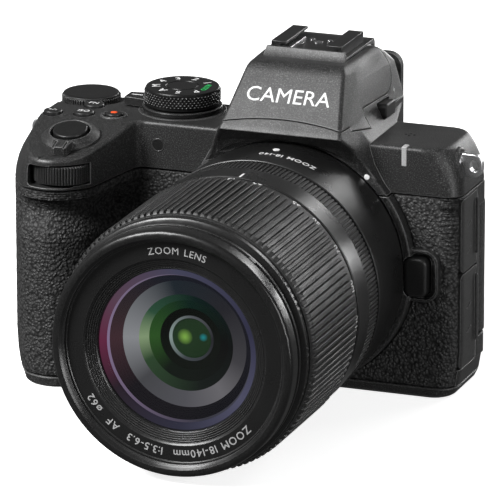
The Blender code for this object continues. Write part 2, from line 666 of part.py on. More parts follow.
def make_finder():
    cup = slab("eyecup", panel(38.0, 20.4, 4.0), rear_view(0, 77.6), 24.3, 27.5, RUBBER, bevel=1.2)
    cut(cup, slab("window", panel(21.0, 11.6, 2.0), rear_view(0, 77.8), 20, 40))
    slab("eyepiece_lens", panel(18.4, 9.2, 1.5), rear_view(0, 77.8), 19.5, 22.6, GLASS)
    box("finder_display", (-7.5, 0.0, 73.4), (7.5, 2.4, 82.2), GLOSS)
    knob = [(1.4, -1.6), (1.4, 0.3), (3.9, 0.3), (4.0, 2.2), (3.6, 2.6)]
    turned("diopter_dial", knob, DIOPTER_FRAME, BLACK_METAL, count=24)


def make_strap_lugs():
    for name, x, side in (("strap_lug_right", SIDE_X + GAP, 1), ("strap_lug_left", GRIP_X - GAP, -1)):
        root = (x, LUG_Y, LUG_Z)
        disc = [(3.5, 0), (3.5, 0.7), (3.0, 1.0)]
        lug = turned(name, disc, stand(root, (side, 0, 0), (0, side, 0)), STEEL, count=20)
        eye = rounded([(0, -2.8, 0.3, 1), (3.8, -2.8, 1.8, 3), (3.8, 2.8, 1.8, 3), (0, 2.8, 0.3, 1)])
        upright = stand(root, (0, -1, 0), (side, 0, 0))
        fuse(lug, slab("eye", eye, upright, -LUG_HALF, LUG_HALF))
        cut(lug, slab("hole", panel(1.9, 3.0, 0.9, 3, (2.3, 0)), upright, -5, 5))


def make_lens():
    plate = [(24.8, 10.5), (26.8, 10.5), (26.8, 16.3), (31.5, 16.3), (31.5, 17.8), (24.8, 17.8)]
    turned("lens_mount_plate", plate, LENS_VIEW, STEEL, ring=True)
    barrel = [
        (33.2, 16.6), (33.7, 20.0), (35.3, 25.5), (35.5, 40.9), (33.0, 40.9), (33.0, 49.6), (35.9, 49.6),
        (35.9, 58.2), (31.6, 58.2), (31.6, 88.0), (29.8, 88.0), (29.8, 18.1), (31.8, 18.1), (31.8, 16.6),
    ]
    turned("lens_barrel", barrel, LENS_VIEW, BLACK_METAL, ring=True)
    control = [(33.3, 41.2), (35.5, 41.2), (35.5, 49.3), (33.3, 49.3)]
    turned("control_ring", control, LENS_VIEW, RUBBER, ring=True)
    zoom = [(33.4, 58.5), (35.6, 58.5), (35.6, 60.4), (36.5, 61.0), (36.5, 94.2), (36.0, 94.7), (33.4, 94.7)]
    turned("zoom_ring", zoom, LENS_VIEW, RUBBER, ring=True)
    middle = [(31.9, 58.8), (33.1, 58.8), (33.1, 94.9), (31.9, 94.9)]
    turned("middle_barrel", middle, LENS_VIEW, BLACK_METAL, ring=True)
    front = [
        (29.5, 95.2), (34.6, 95.2), (34.6, 97.2), (33.9, 98.0), (33.9, 105.4), (33.4, 106.0), (31.2, 106.0),
        (30.8, 103.4), (25.6, 103.4), (23.0, 102.2), (23.0, 95.5), (20.0, 95.5), (20.0, 93.5), (27.8, 93.5),
        (27.8, 60.0), (29.5, 60.0),
    ]
    turned("front_barrel", front, LENS_VIEW, BLACK_METAL, ring=True)
    dome = [(22.6, 96.0), (22.6, 101.4), (17.5, 103.0), (11.5, 104.1), (5.0, 104.7)]
    turned("front_element", dome, LENS_VIEW, GLASS)
    turned("zoom_group", [(27.2, 66.0), (27.2, 74.0), (18.0, 75.6)], LENS_VIEW, GLASS, count=32)
    turned("focus_group", [(14.0, 46.0), (14.0, 50.0)], LENS_VIEW, GLASS, count=24)
    turned("rear_element", [(16.0, 20.0), (16.0, 26.0)], LENS_VIEW, GLASS, count=24)


def main():
    for obj in list(bpy.data.objects):
        bpy.data.objects.remove(obj, do_unlink=True)
    make_front()
    make_front_buttons()
    make_rear()
    make_rear_buttons()
    make_ports()
    make_monitor()
    make_base()
    make_inside()
    make_top()
    make_top_controls()
    make_hood()
    make_finder()
    make_strap_lugs()
    make_lens()


main()
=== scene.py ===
"""Looks of an interchangeable lens camera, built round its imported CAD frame.

The frame is in metres: X runs to the right seen from the front, Y to the back, Z up, and the image
sensor stands in the plane y = 0. Shapes here are written in millimetres, as on the CAD drawing, and
scaled by MM where a mesh is made. Profiles are lists of (radius, height) on their own axis, and
outlines are lists of (x, y) in the plane of the matrix they are given with.
"""

import math

import bmesh
import bpy
from mathutils import Matrix, Vector


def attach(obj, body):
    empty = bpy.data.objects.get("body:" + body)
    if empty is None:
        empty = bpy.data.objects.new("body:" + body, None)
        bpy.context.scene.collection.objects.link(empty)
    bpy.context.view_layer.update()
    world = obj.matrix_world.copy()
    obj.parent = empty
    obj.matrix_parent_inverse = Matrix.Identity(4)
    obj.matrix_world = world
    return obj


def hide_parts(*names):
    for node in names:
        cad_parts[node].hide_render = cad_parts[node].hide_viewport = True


MM = 0.001
SHARP = math.radians(32)  # edges that turn more than this shade as sharp
WELD = 2e-6  # metres
FLATNESS = 0.0002  # radians a face may bend before it is divided
COLLECTION = bpy.context.scene.collection

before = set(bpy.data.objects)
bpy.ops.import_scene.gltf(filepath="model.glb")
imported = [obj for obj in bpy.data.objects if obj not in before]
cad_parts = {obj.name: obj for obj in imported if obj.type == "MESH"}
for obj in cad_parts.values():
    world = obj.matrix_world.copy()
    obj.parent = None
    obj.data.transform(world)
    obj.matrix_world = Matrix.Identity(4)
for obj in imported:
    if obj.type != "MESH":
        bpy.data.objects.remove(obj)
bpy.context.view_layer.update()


def linked(name, data):
    """An object holding that data, in the scene."""
    obj = bpy.data.objects.new(name, data)
    COLLECTION.objects.link(obj)
    return obj


# ---------------------------------------------------------------- camera, light and floor

# The camera looks along the line from TARGET at AZIMUTH and ELEVATION, and its frame is shifted.
TARGET = Vector((0.0, -0.030, 0.045))
AZIMUTH = math.radians(20.271)
ELEVATION = math.radians(17.034)
DISTANCE = 1.665
LENS_MM = 436.7
SHIFT = (-0.0403, -0.0072)

LIGHTS = [
    # name, place, width, height, watts
    ("key", (-0.70, -0.85, 1.00), 0.60, 0.60, 34.0),
    ("side", (1.40, -0.70, 0.30), 0.30, 1.00, 11.0),
    ("rim", (0.60, 1.20, 0.80), 0.70, 0.25, 5.5),
    ("back", (0.30, 1.50, 0.18), 0.90, 0.30, 9.0),
]
WORLD_STRENGTH = 0.12
FLOOR_SHADE = (0.85, 0.85, 0.85)
FLOOR_GLOW = 0.80
FLOOR_HALF = 6.0
WHITE = (1, 1, 1, 1)


def make_camera():
    flat = math.cos(ELEVATION)
    back = Vector((math.sin(AZIMUTH) * flat, -math.cos(AZIMUTH) * flat, math.sin(ELEVATION)))
    data = bpy.data.cameras.new("view")
    data.lens = LENS_MM
    data.sensor_width = 36.0
    data.shift_x, data.shift_y = SHIFT
    data.clip_start, data.clip_end = 0.1, 20.0
    camera = linked("view", data)
    camera.location = TARGET + back * DISTANCE
    camera.rotation_euler = back.to_track_quat("Z", "Y").to_euler()
    bpy.context.scene.camera = camera


def make_lights():
    for name, place_at, width, height, watts in LIGHTS:
        data = bpy.data.lights.new(name, "AREA")
        data.shape = "RECTANGLE"
        data.size, data.size_y = width, height
        data.energy = watts
        light = linked(name, data)
        light.location = place_at
        light.rotation_euler = (Vector(place_at) - TARGET).to_track_quat("Z", "Y").to_euler()
    world = bpy.data.worlds.new("studio")
    world.use_nodes = True
    background = world.node_tree.nodes["Background"]
    background.inputs["Color"].default_value = WHITE
    background.inputs["Strength"].default_value = WORLD_STRENGTH
    bpy.context.scene.world = world
    bpy.context.scene.view_settings.view_transform = "Standard"


def make_floor():
    """White paper that glows a little, so that it stays white and still takes the object's shadow."""
    half = FLOOR_HALF
    mesh = bpy.data.meshes.new("floor")
    corners = [(-half, -half, 0), (half, -half, 0), (half, half, 0), (-half, half, 0)]
    mesh.from_pydata(corners, [], [(0, 1, 2, 3)])
    floor = linked("floor", mesh)
    surface, tree, shader = principled("floor_paper", FLOOR_SHADE, 0.9)
    wire(tree, shader, Emission_Color=WHITE, Emission_Strength=FLOOR_GLOW)
    mesh.materials.append(surface)
    floor.visible_diffuse = False
    floor.visible_glossy = False


# ---------------------------------------------------------------- materials

MIX_INPUTS = (0, 6, 7)  # factor and the two colours of a Mix node that mixes colours
MIX_RESULT = 2
EDGE_WEAR_AND_HIGHLIGHT_SPREAD = 3.0


def fill(tree, socket, value):
    """Links a socket to another, or sets its value."""
    if isinstance(value, bpy.types.NodeSocket):
        tree.links.new(value, socket)
    else:
        socket.default_value = value


def wire(tree, made, **values):
    """Each keyword sets a property of the node, or fills an input, with _ for the spaces in its name."""
    for key, value in values.items():
        if hasattr(made, key):
            setattr(made, key, value)
        else:
            fill(tree, made.inputs[key.replace("_", " ")], value)
    return made


def node(tree, kind, **values):
    return wire(tree, tree.nodes.new("ShaderNode" + kind), **values)


def principled(name, colour, roughness, metallic=0.0):
    surface = bpy.data.materials.new(name)
    surface.use_nodes = True
    tree = surface.node_tree
    shader = tree.nodes["Principled BSDF"]
    wire(tree, shader, Base_Color=(*colour, 1), Roughness=roughness, Metallic=metallic)
    return surface, tree, shader


def object_coordinates(tree, stretch=(1, 1, 1)):
    coordinates = node(tree, "TexCoord").outputs["Object"]
    return node(tree, "Mapping", Vector=coordinates, Scale=stretch).outputs["Vector"]


def noise(tree, vector, grain, detail=2.0, output="Fac"):
    """Noise whose grains are about that many millimetres."""
    return node(tree, "TexNoise", Vector=vector, Scale=1 / (grain * MM), Detail=detail).outputs[output]


def ramp(tree, value, stops):
    """A colour ramp through stops of (place, colour or grey)."""
    made = node(tree, "ValToRGB", Fac=value)
    elements = made.color_ramp.elements
    while len(elements) < len(stops):
        elements.new(0.5)
    for element, (place_at, colour) in zip(elements, stops):
        element.position = place_at
        shade = (colour,) * 3 if isinstance(colour, float) else colour
        element.color = (*shade, 1)
    return made.outputs["Color"]


def operate(tree, kind, operation, first, second, output="Value"):
    """A Math or VectorMath node on two values or sockets."""
    made = node(tree, kind, operation=operation)
    fill(tree, made.inputs[0], first)
    fill(tree, made.inputs[1], second)
    return made.outputs[output]


def math_node(tree, operation, first, second):
    return operate(tree, "Math", operation, first, second)


def mixed(tree, factor, first, second, blend="MIX"):
    made = node(tree, "Mix", data_type="RGBA", blend_type=blend, clamp_factor=True)
    for index, value in zip(MIX_INPUTS, (factor, first, second)):
        fill(tree, made.inputs[index], (*value, 1) if isinstance(value, tuple) else value)
    return made.outputs[MIX_RESULT]


def bump(tree, height, depth, normal):
    """Relief of that many millimetres on top of a normal."""
    made = node(tree, "Bump", Strength=1.0, Distance=depth * MM, Height=height, Normal=normal)
    return made.outputs["Normal"]


def round_edges(tree, radius):
    return node(tree, "Bevel", samples=4, Radius=radius * MM).outputs["Normal"]


def edge_wear_and_highlight(tree, radius):
    """0 on a face, rising towards 1 on an edge, where edges are painted lighter: partly wear, partly a
    painted highlight.
    """
    flat = node(tree, "NewGeometry").outputs["Normal"]
    along = operate(tree, "VectorMath", "DOT_PRODUCT", round_edges(tree, radius), flat)
    return math_node(tree, "MULTIPLY", math_node(tree, "SUBTRACT", 1.0, along), EDGE_WEAR_AND_HIGHLIGHT_SPREAD)


def speckled(name, shade, roughness, grain, depth, edge=0.35, fleck=0.05, metallic=0.0, wear_and_highlight=0.2):
    """Moulded or painted black with fine lighter flecks, rounded edges, and edges painted lighter as wear
    and as a painted highlight.
    """
    surface, tree, shader = principled(name, (shade,) * 3, roughness, metallic)
    vector = object_coordinates(tree)
    specks = noise(tree, vector, grain)
    paint = ramp(tree, specks, [(0.36, shade * 0.4), (0.52, shade), (0.72, fleck)])
    cloud = noise(tree, vector, 9.0, 3.0)
    wire(
        tree, shader,
        # edges painted a lighter grey: wear, and a painted highlight along them
        Base_Color=mixed(tree, edge_wear_and_highlight(tree, edge), paint, (wear_and_highlight,) * 3),
        Roughness=ramp(tree, cloud, [(0.3, roughness - 0.05), (0.7, roughness + 0.07)]),
        Normal=bump(tree, specks, depth, round_edges(tree, edge)),
    )
    return surface


def leather(name):
    """Pebbled grip leather: distorted cells, their tops painted lighter as a highlight and their creases
    painted darker as shade, and fine pores.
    """
    surface, tree, shader = principled(name, (0.03, 0.03, 0.032), 0.5)
    vector = object_coordinates(tree)
    warp = noise(tree, vector, 2.4, output="Color")
    shift = node(tree, "VectorMath", operation="SCALE", Vector=warp, Scale=1.5 * MM).outputs["Vector"]
    moved = operate(tree, "VectorMath", "ADD", vector, shift, "Vector")
    cells = node(
        tree, "TexVoronoi", feature="SMOOTH_F1", Vector=moved, Scale=1 / (0.85 * MM), Smoothness=0.25
    )
    pebbles = math_node(tree, "SUBTRACT", 1.0, cells.outputs["Distance"])
    pores = bump(tree, noise(tree, vector, 0.16), 0.02, round_edges(tree, 0.5))
    wire(
        tree, shader,
        # tops painted lighter as a highlight, creases painted darker as shade
        Base_Color=ramp(tree, pebbles, [(0.25, 0.004), (0.45, 0.024), (0.80, 0.055)]),
        Roughness=ramp(tree, pebbles, [(0.3, 0.75), (0.8, 0.46)]),
        Normal=bump(tree, pebbles, 0.45, pores),
    )
    return surface


def radial_painted_glint(name, shade, painted_glint, centre, inner, outer):
    """Black metal painted bright between two distances from an upright axis: a painted glint on a knurl's
    points.
    """
    surface, tree, shader = principled(name, (shade,) * 3, 0.35, 0.4)
    flat = object_coordinates(tree, (1, 1, 0))
    reach = operate(tree, "VectorMath", "DISTANCE", flat, (centre[0] * MM, centre[1] * MM, 0))
    share = node(tree, "MapRange", Value=reach, From_Min=inner * MM, From_Max=outer * MM)
    specks = noise(tree, object_coordinates(tree), 0.25)
    wire(
        tree, shader,
        # painted glint: lighter towards the outer reach of the knurl's points
        Base_Color=ramp(tree, share.outputs["Result"], [(0.0, shade), (0.55, shade * 1.5), (1.0, painted_glint)]),
        Roughness=ramp(tree, specks, [(0.3, 0.30), (0.7, 0.42)]),
    )
    return surface


def painted_ink(name, colour):
    """Printed lettering, a little worn."""
    surface, tree, shader = principled(name, colour, 0.5)
    specks = noise(tree, object_coordinates(tree), 0.2)
    wear_and_highlight = tuple(channel * 0.72 for channel in colour)
    wear = ramp(tree, specks, [(0.3, 1.0), (0.5, 0.0)])
    wire(tree, shader, Base_Color=mixed(tree, wear, colour, wear_and_highlight))
    return surface


def metal(name, colour, roughness, grain=0.15, edge=0.15):
    surface, tree, shader = principled(name, colour, roughness, 1.0)
    specks = noise(tree, object_coordinates(tree), grain)
    wire(
        tree, shader,
        Roughness=ramp(tree, specks, [(0.3, roughness - 0.08), (0.7, roughness + 0.1)]),
        Normal=bump(tree, specks, 0.004, round_edges(tree, edge)),
    )
    return surface


def clear_glass(name, tint, face_on=0.012):
    """Thin coated glass: see-through face on, and a mirror of the coating's colour at a grazing angle."""
    surface, tree, shader = principled(name, tint, 0.0, 1.0)
    facing = node(tree, "LayerWeight", Blend=0.5).outputs["Facing"]
    grazing = math_node(tree, "MULTIPLY", math_node(tree, "POWER", facing, 5.0), 1 - face_on)
    smears = noise(tree, object_coordinates(tree), 14.0)
    wire(
        tree, shader,
        Alpha=math_node(tree, "ADD", grazing, face_on),
        Roughness=ramp(tree, smears, [(0.45, 0.0), (0.9, 0.04)]),
    )
    return surface


def gloss_black(name, shade=0.006):
    surface, tree, shader = principled(name, (shade,) * 3, 0.06)
    smears = noise(tree, object_coordinates(tree), 18.0)
    wire(tree, shader, Roughness=ramp(tree, smears, [(0.4, 0.05), (0.8, 0.13)]))
    return surface


def around_axis(tree):
    """The angle about the lens axis as 0 to 1, 0.5 pointing to +X and rising towards the top."""
    place_at = node(tree, "TexCoord").outputs["Object"]
    parts = node(tree, "SeparateXYZ", Vector=place_at).outputs
    height = math_node(tree, "SUBTRACT", parts["Z"], AXIS_Z * MM)
    angle = math_node(tree, "ARCTAN2", height, parts["X"])
    return math_node(tree, "ADD", math_node(tree, "DIVIDE", angle, 2 * math.pi), 0.5)


def painted_reflection_ring(name, stops, roughness, painted_glow):
    """A ring inside the lens with painted coloured reflections and a painted glow; stops run once round the
    axis.
    """
    surface, tree, shader = principled(name, (0.004, 0.004, 0.004), roughness)
    colour = ramp(tree, around_axis(tree), stops)
    # painted reflection colours, made to glow
    wire(tree, shader, Emission_Color=colour, Emission_Strength=painted_glow, Specular_IOR_Level=0.0)
    return surface


def inner_green_painted_reflections():
    """The innermost element: dark green with one lighter and one teal painted reflection, painted to glow.
    """
    surface, tree, shader = principled("inner_green_painted_reflections", (0.01, 0.03, 0.01), 0.15)
    coordinates = node(tree, "TexCoord").outputs["Object"]
    painted_glows = []
    painted_reflection_spots = (((-1.8, 0.3), 2.3, (0.11, 0.22, 0.035)), ((3.4, 0.6), 1.2, (0.0, 0.13, 0.14)))
    for (x, z), size, colour in painted_reflection_spots:
        spot = (x * MM, -90.4 * MM, (AXIS_Z + z) * MM)
        away = operate(tree, "VectorMath", "DISTANCE", coordinates, spot)
        reach = math_node(tree, "DIVIDE", away, size * MM)
        painted_glows.append(ramp(tree, reach, [(0.1, colour), (1.0, (0.006, 0.018, 0.006))]))
    both = mixed(tree, 1.0, *painted_glows, "LIGHTEN")
    # painted reflections, used as colour and as a painted glow
    wire(tree, shader, Base_Color=both, Emission_Color=both, Emission_Strength=0.8)
    return surface


# ---------------------------------------------------------------- shapes

UPWARD = Vector((0, 0, 1))
EDGE_STEPS = 4  # rings of points round a rounded edge
INK_THICKNESS = 0.03
SPACE_SHARE = 0.3  # a space's width and the gap between letters, as shares of the letter size
GAP_SHARE = 0.14
SOFT = (0.0, 0.4, 0.8, 1.2, 1.57)  # angles of the points that round the rim of a turned piece


def stand(centre, axis, along=(1, 0, 0)):
    """The matrix of a local frame at centre: its Z on axis, its X near along."""
    z = Vector(axis).normalized()
    x = Vector(along)
    x = (x - z * x.dot(z)).normalized()
    return Matrix.Translation(centre) @ Matrix((x, z.cross(x), z)).transposed().to_4x4()


def front_view(x, z):
    return stand((x, 0, z), (0, -1, 0))


def rear_view(x, z):
    return stand((x, 0, z), (0, 1, 0), (-1, 0, 0))


def edited(mesh, change):
    """The mesh after a change made to it as a bmesh."""
    body = bmesh.new()
    body.from_mesh(mesh)
    change(body)
    body.to_mesh(mesh)
    body.free()
    return mesh


def face_out(body):
    bmesh.ops.connect_verts_nonplanar(body, angle_limit=FLATNESS, faces=body.faces)
    bmesh.ops.recalc_face_normals(body, faces=body.faces)


def weld(body):
    """Makes points closer than WELD one, which closes the slits a Boolean leaves."""
    bmesh.ops.remove_doubles(body, verts=body.verts, dist=WELD)


def solid(name, points, faces, surface=None):
    mesh = bpy.data.meshes.new(name)
    mesh.from_pydata([Vector(point) * MM for point in points], [], faces)
    obj = linked(name, edited(mesh, face_out))
    if surface:
        mesh.materials.append(surface)
    return smooth(obj)


def smooth(obj):
    obj.data.shade_smooth()
    obj.data.set_sharp_from_angle(angle=SHARP)
    return obj


def place(obj, body, slot, *stands_for):
    """Hangs a finished piece on its CAD body and hides the nodes that it stands for; its slot argument is
    not used.
    """
    even = obj.modifiers.new("even_shading", "WEIGHTED_NORMAL")
    even.keep_sharp = True
    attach(obj, body)
    if stands_for:
        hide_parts(*stands_for)
    return obj


def loft(name, loops, surface=None, closed=False):
    """A skin over loops of equal length, capped at both ends unless the loops close on themselves."""
    count = len(loops[0])
    rows = len(loops) if closed else len(loops) - 1
    faces = []
    for row in range(rows):
        after = (row + 1) % len(loops)
        for i in range(count):
            j = (i + 1) % count
            faces.append((row * count + i, row * count + j, after * count + j, after * count + i))
    if not closed:
        faces.append(tuple(range(count)))
        faces.append(tuple(range((len(loops) - 1) * count, len(loops) * count)))
    return solid(name, [point for loop in loops for point in loop], faces, surface)


def polar(frame, radius, angle, height):
    """The point at that distance from the frame's Z, at that angle and height."""
    return frame @ Vector((radius * math.cos(angle), radius * math.sin(angle), height))


def circle(frame, radius, height, count):
    return [polar(frame, radius, 2 * math.pi * i / count, height) for i in range(count)]


def turned(name, profile, frame, surface=None, ring=False, count=128):
    """A profile of (radius, height) points turned about the frame's Z; a ring's profile is closed."""
    loops = [circle(frame, radius, height, count) for radius, height in profile]
    return loft(name, loops, surface, ring)


def drill(frame, radius, low, high, count=48):
    """A helper cylinder about the frame's Z."""
    return turned("hole", [(radius, low), (radius, high)], frame, count=count)


def soft_rim(radius, top, size, angles=SOFT):
    """The points that round off the rim of a turned piece, from its side to its top."""
    return [(radius - size + size * math.cos(a), top - size + size * math.sin(a)) for a in angles]


def stepped(radius, depth, inward, back, shape, count=5):
    """A profile's points count times over, each time further inward and further back."""
    return [(radius - inward * k + x, depth - back * k + y) for k in range(count) for x, y in shape]


def toothed(name, profile, frame, surface, teeth, shape, ring=True):
    """A turned piece with teeth: profile rows are (radius, height, tooth height), and shape is a tooth's
    outline as (share of one pitch, share of tooth height)."""
    loops = []
    for radius, height, rise in profile:
        loop = []
        for tooth in range(teeth):
            for share, level in shape:
                angle = 2 * math.pi * (tooth + share) / teeth
                loop.append(polar(frame, radius + rise * level, angle, height))
        loops.append(loop)
    return loft(name, loops, surface, ring)


def shrink(outline, distance):
    """An outline running anticlockwise, with every edge moved inwards."""
    moved = []
    for i, point in enumerate(outline):
        before = Vector(point) - Vector(outline[i - 1])
        after = Vector(outline[(i + 1) % len(outline)]) - Vector(point)
        inward_a = Vector((-before.y, before.x)).normalized()
        inward_b = Vector((-after.y, after.x)).normalized()
        step = (inward_a + inward_b) * distance / (1 + inward_a.dot(inward_b))
        moved.append((point[0] + step.x, point[1] + step.y))
    return moved


def rounded(corners):
    """An outline through corners (x, y, radius, steps), each replaced by an arc."""
    outline = []
    for i, (x, y, radius, steps) in enumerate(corners):
        corner = Vector((x, y))
        back = (Vector(corners[i - 1][:2]) - corner).normalized()
        ahead = (Vector(corners[(i + 1) % len(corners)][:2]) - corner).normalized()
        half = back.angle(ahead) / 2
        centre = corner + (back + ahead).normalized() * radius / math.sin(half)
        start = corner + back * radius / math.tan(half) - centre
        turn = start.angle_signed(corner + ahead * radius / math.tan(half) - centre)
        for k in range(steps + 1):
            arm = start.copy()
            arm.rotate(Matrix.Rotation(-turn * k / steps, 2))
            outline.append(tuple(centre + arm))
    return outline


def panel(width, height, radius, steps=8, centre=(0, 0)):
    """A rectangle with round corners."""
    x, y = width / 2, height / 2
    corners = [(x, -y), (x, y), (-x, y), (-x, -y)]
    return rounded([(centre[0] + a, centre[1] + b, radius, steps) for a, b in corners])


def slab(name, outline, frame, low, high, surface=None, edge=0.0, both=False):
    """An outline in the frame's XY plane, from low to high, with round edges at the top, or at both ends."""
    arc = [math.radians(90 * k / EDGE_STEPS) for k in range(EDGE_STEPS + 1)]
    levels = [(low, 0.0), (high, 0.0)]
    if edge:
        top = [(high - edge + edge * math.sin(a), edge - edge * math.cos(a)) for a in arc]
        levels = [(low, 0.0)] + top
        if both:
            levels = [(low + high - height, inset) for height, inset in reversed(top)] + top
    loops = []
    for height, inset in levels:
        loops.append([frame @ Vector((x, y, height)) for x, y in shrink(outline, inset)])
    return loft(name, loops, surface)


def box(name, low, high, surface=None, edge=0.0):
    outline = [(low[0], low[1]), (high[0], low[1]), (high[0], high[1]), (low[0], high[1])]
    if edge:
        outline = rounded([(x, y, edge, EDGE_STEPS) for x, y in outline])
    return slab(name, outline, Matrix(), low[2], high[2], surface, edge, bool(edge))


def shape_with(obj, operation, *helpers):
    """A Boolean with each helper in turn, after which the helpers are gone."""
    for helper in helpers:
        modifier = obj.modifiers.new("shape", "BOOLEAN")
        modifier.operation = operation
        modifier.object = helper
        modifier.solver = "EXACT"
    graph = bpy.context.evaluated_depsgraph_get()
    mesh = bpy.data.meshes.new_from_object(obj.evaluated_get(graph))
    obj.modifiers.clear()
    obj.data = edited(mesh, weld)
    for helper in helpers:
        bpy.data.objects.remove(helper, do_unlink=True)
    return smooth(obj)


def cut(obj, *helpers):
    return shape_with(obj, "DIFFERENCE", *helpers)


def keep(obj, *helpers):
    return shape_with(obj, "INTERSECT", *helpers)


def fuse(obj, *helpers):
    return shape_with(obj, "UNION", *helpers)


def join(name, parts):
    """Several meshes made one object."""
    mesh = bpy.data.meshes.new(name)
    body = bmesh.new()
    for part in parts:
        for face in part.data.polygons:
            face.material_index = 0
        body.from_mesh(part.data)
        if part.data.materials and not mesh.materials:
            mesh.materials.append(part.data.materials[0])
        bpy.data.objects.remove(part, do_unlink=True)
    body.to_mesh(mesh)
    body.free()
    return linked(name, mesh)


def glyph(text, size, bold=0.0):
    """A text's mesh, flat in XY, standing on the origin and centred in X, in millimetres."""
    curve = bpy.data.curves.new("glyph", "FONT")
    curve.body = text
    curve.size = size
    curve.extrude = INK_THICKNESS / 2
    curve.offset = bold
    curve.space_character = 1 + bold
    curve.resolution_u = 3
    curve.align_x = "CENTER"
    holder = linked("glyph", curve)
    graph = bpy.context.evaluated_depsgraph_get()
    mesh = bpy.data.meshes.new_from_object(holder.evaluated_get(graph))
    bpy.data.objects.remove(holder, do_unlink=True)
    bpy.data.curves.remove(curve)
    return mesh


def label(name, text, size, frame, surface, bold=0.02):
    """Flat lettering on a frame's XY plane; its base line runs along the frame's X."""
    mesh = glyph(text, size, bold=bold)
    mesh.transform(Matrix.Scale(MM, 4) @ frame)
    mesh.materials.append(surface)
    return linked(name, mesh)


def width_of(character, size):
    """How much of a line a character takes up, with the gap after it."""
    mesh = glyph(character, size)
    xs = [vertex.co.x for vertex in mesh.vertices] or [0, size * SPACE_SHARE]
    bpy.data.meshes.remove(mesh)
    return max(xs) - min(xs) + size * GAP_SHARE


# ---------------------------------------------------------------- lens

AXIS_Z = 36.8
LENS_VIEW = stand((0, 0, AXIS_Z), (0, -1, 0))
RIB = [(0.0, 0.0), (0.30, 0.0), (0.37, 0.85), (0.44, 1.0), (0.86, 1.0), (0.93, 0.85)]
TOOTH = [(0.0, 0.0), (0.34, 0.0), (0.44, 1.0), (0.90, 1.0)]
ZOOM_MARKS = {"18": 90.5, "24": 78.5, "35": 59.0, "50": 47.5, "70": 32.5, "100": 15.0, "140": -1.0}


def on_barrel(radius, angle, distance, facing_front=False):
    """A frame lying on the barrel: letters read from behind the camera, or on a ring that faces forward."""
    turn = math.radians(angle)
    out = Vector((math.cos(turn), 0, math.sin(turn)))
    place_at = out * radius + Vector((0, -distance, AXIS_Z))
    if facing_front:
        return stand(place_at, (0, -1, 0), (out.z, 0, -out.x))
    return stand(place_at, out, (-out.z, 0, out.x))


def spun(obj, degrees):
    """A piece made at the lens's axis level, turned about it and lifted to it."""
    turn = Matrix.Rotation(math.radians(degrees), 4, "Y")
    obj.data.transform(Matrix.Translation((0, 0, AXIS_Z * MM)) @ turn)
    return obj


def arc_text(name, text, size, radius, middle, distance, surface, facing_front=False):
    """Lettering round the lens, centred on an angle in degrees: clockwise from the front if it faces the
    front, otherwise lying on the barrel and read from behind."""
    widths = [width_of(character, size) for character in text]
    run = math.degrees(sum(widths) / radius)
    sense = -1 if facing_front else 1
    angle = middle - sense * run / 2
    letters = []
    for character, width in zip(text, widths):
        half = math.degrees(width / radius) / 2
        angle += sense * half
        if character != " ":
            spot = on_barrel(radius, angle, distance, facing_front)
            letters.append(label("letter", character, size, spot, surface))
        angle += sense * half
    return join(name, letters)


def make_rear_barrel(shell, ink):
    profile = [
        (33.0, 16.6), (33.2, 16.6), (34.3, 17.2), (34.7, 18.4), (34.9, 22.0), (35.2, 26.0), (35.3, 31.0),
        (35.4, 40.2), (35.7, 40.35), (35.7, 40.8), (35.5, 40.95), (33.2, 40.95), (33.2, 49.55),
        (35.7, 49.55), (35.95, 49.8), (35.95, 57.9), (35.7, 58.2), (31.6, 58.2), (31.6, 88.0),
        (29.8, 88.0), (29.8, 18.1), (31.8, 18.1), (31.8, 16.6),
    ]
    barrel = turned("barrel_shell", profile, LENS_VIEW, shell, True, 192)
    place(barrel, "lens", "lens_shell", "lens_barrel")
    profile = [(0.95, -0.3), (0.95, 0.05), (0.8, 0.12)]
    dot = turned("mount_dot", profile, on_barrel(35.3, 88.5, 27.6), ink, count=32)
    tick = spun(box("index_tick", (-0.28, -57.9, 35.6), (0.28, -54.6, 36.02), ink, 0.1), 2.5)
    text = arc_text("barrel_text", "ZOOM 18-140", 2.7, 35.38, 80.0, 31.6, ink)
    for mark in (dot, tick, text):
        place(mark, "lens", "lens_shell")


def make_lens_rings(rubber, ink):
    rows = [
        (33.35, 41.2, 0), (35.0, 41.2, 0), (35.0, 41.5, 0), (35.0, 41.9, 0.55), (35.0, 48.7, 0.55),
        (35.0, 49.1, 0), (35.0, 49.3, 0), (33.35, 49.3, 0),
    ]
    control = toothed("control_ring_grip", rows, LENS_VIEW, rubber, 184, TOOTH)
    place(control, "control_ring", "lens_rubber", "control_ring")
    rows = [
        (33.45, 58.5, 0), (35.5, 58.5, 0), (35.6, 58.7, 0), (35.6, 60.7, 0), (35.55, 60.9, 0),
        (35.55, 61.2, 0.5), (35.55, 61.7, 0.92), (35.55, 93.1, 0.92), (35.55, 93.7, 0.5),
        (35.55, 94.0, 0), (35.3, 94.7, 0), (33.45, 94.7, 0),
    ]
    zoom = toothed("zoom_ring_grip", rows, LENS_VIEW, rubber, 116, RIB)
    place(zoom, "zoom_ring", "lens_rubber", "zoom_ring")
    numbers = []
    for text, angle in ZOOM_MARKS.items():
        numbers.append(arc_text("number", text, 2.5, 35.62, angle, 58.75, ink))
    place(join("zoom_numbers", numbers), "zoom_ring", "lens_rubber")


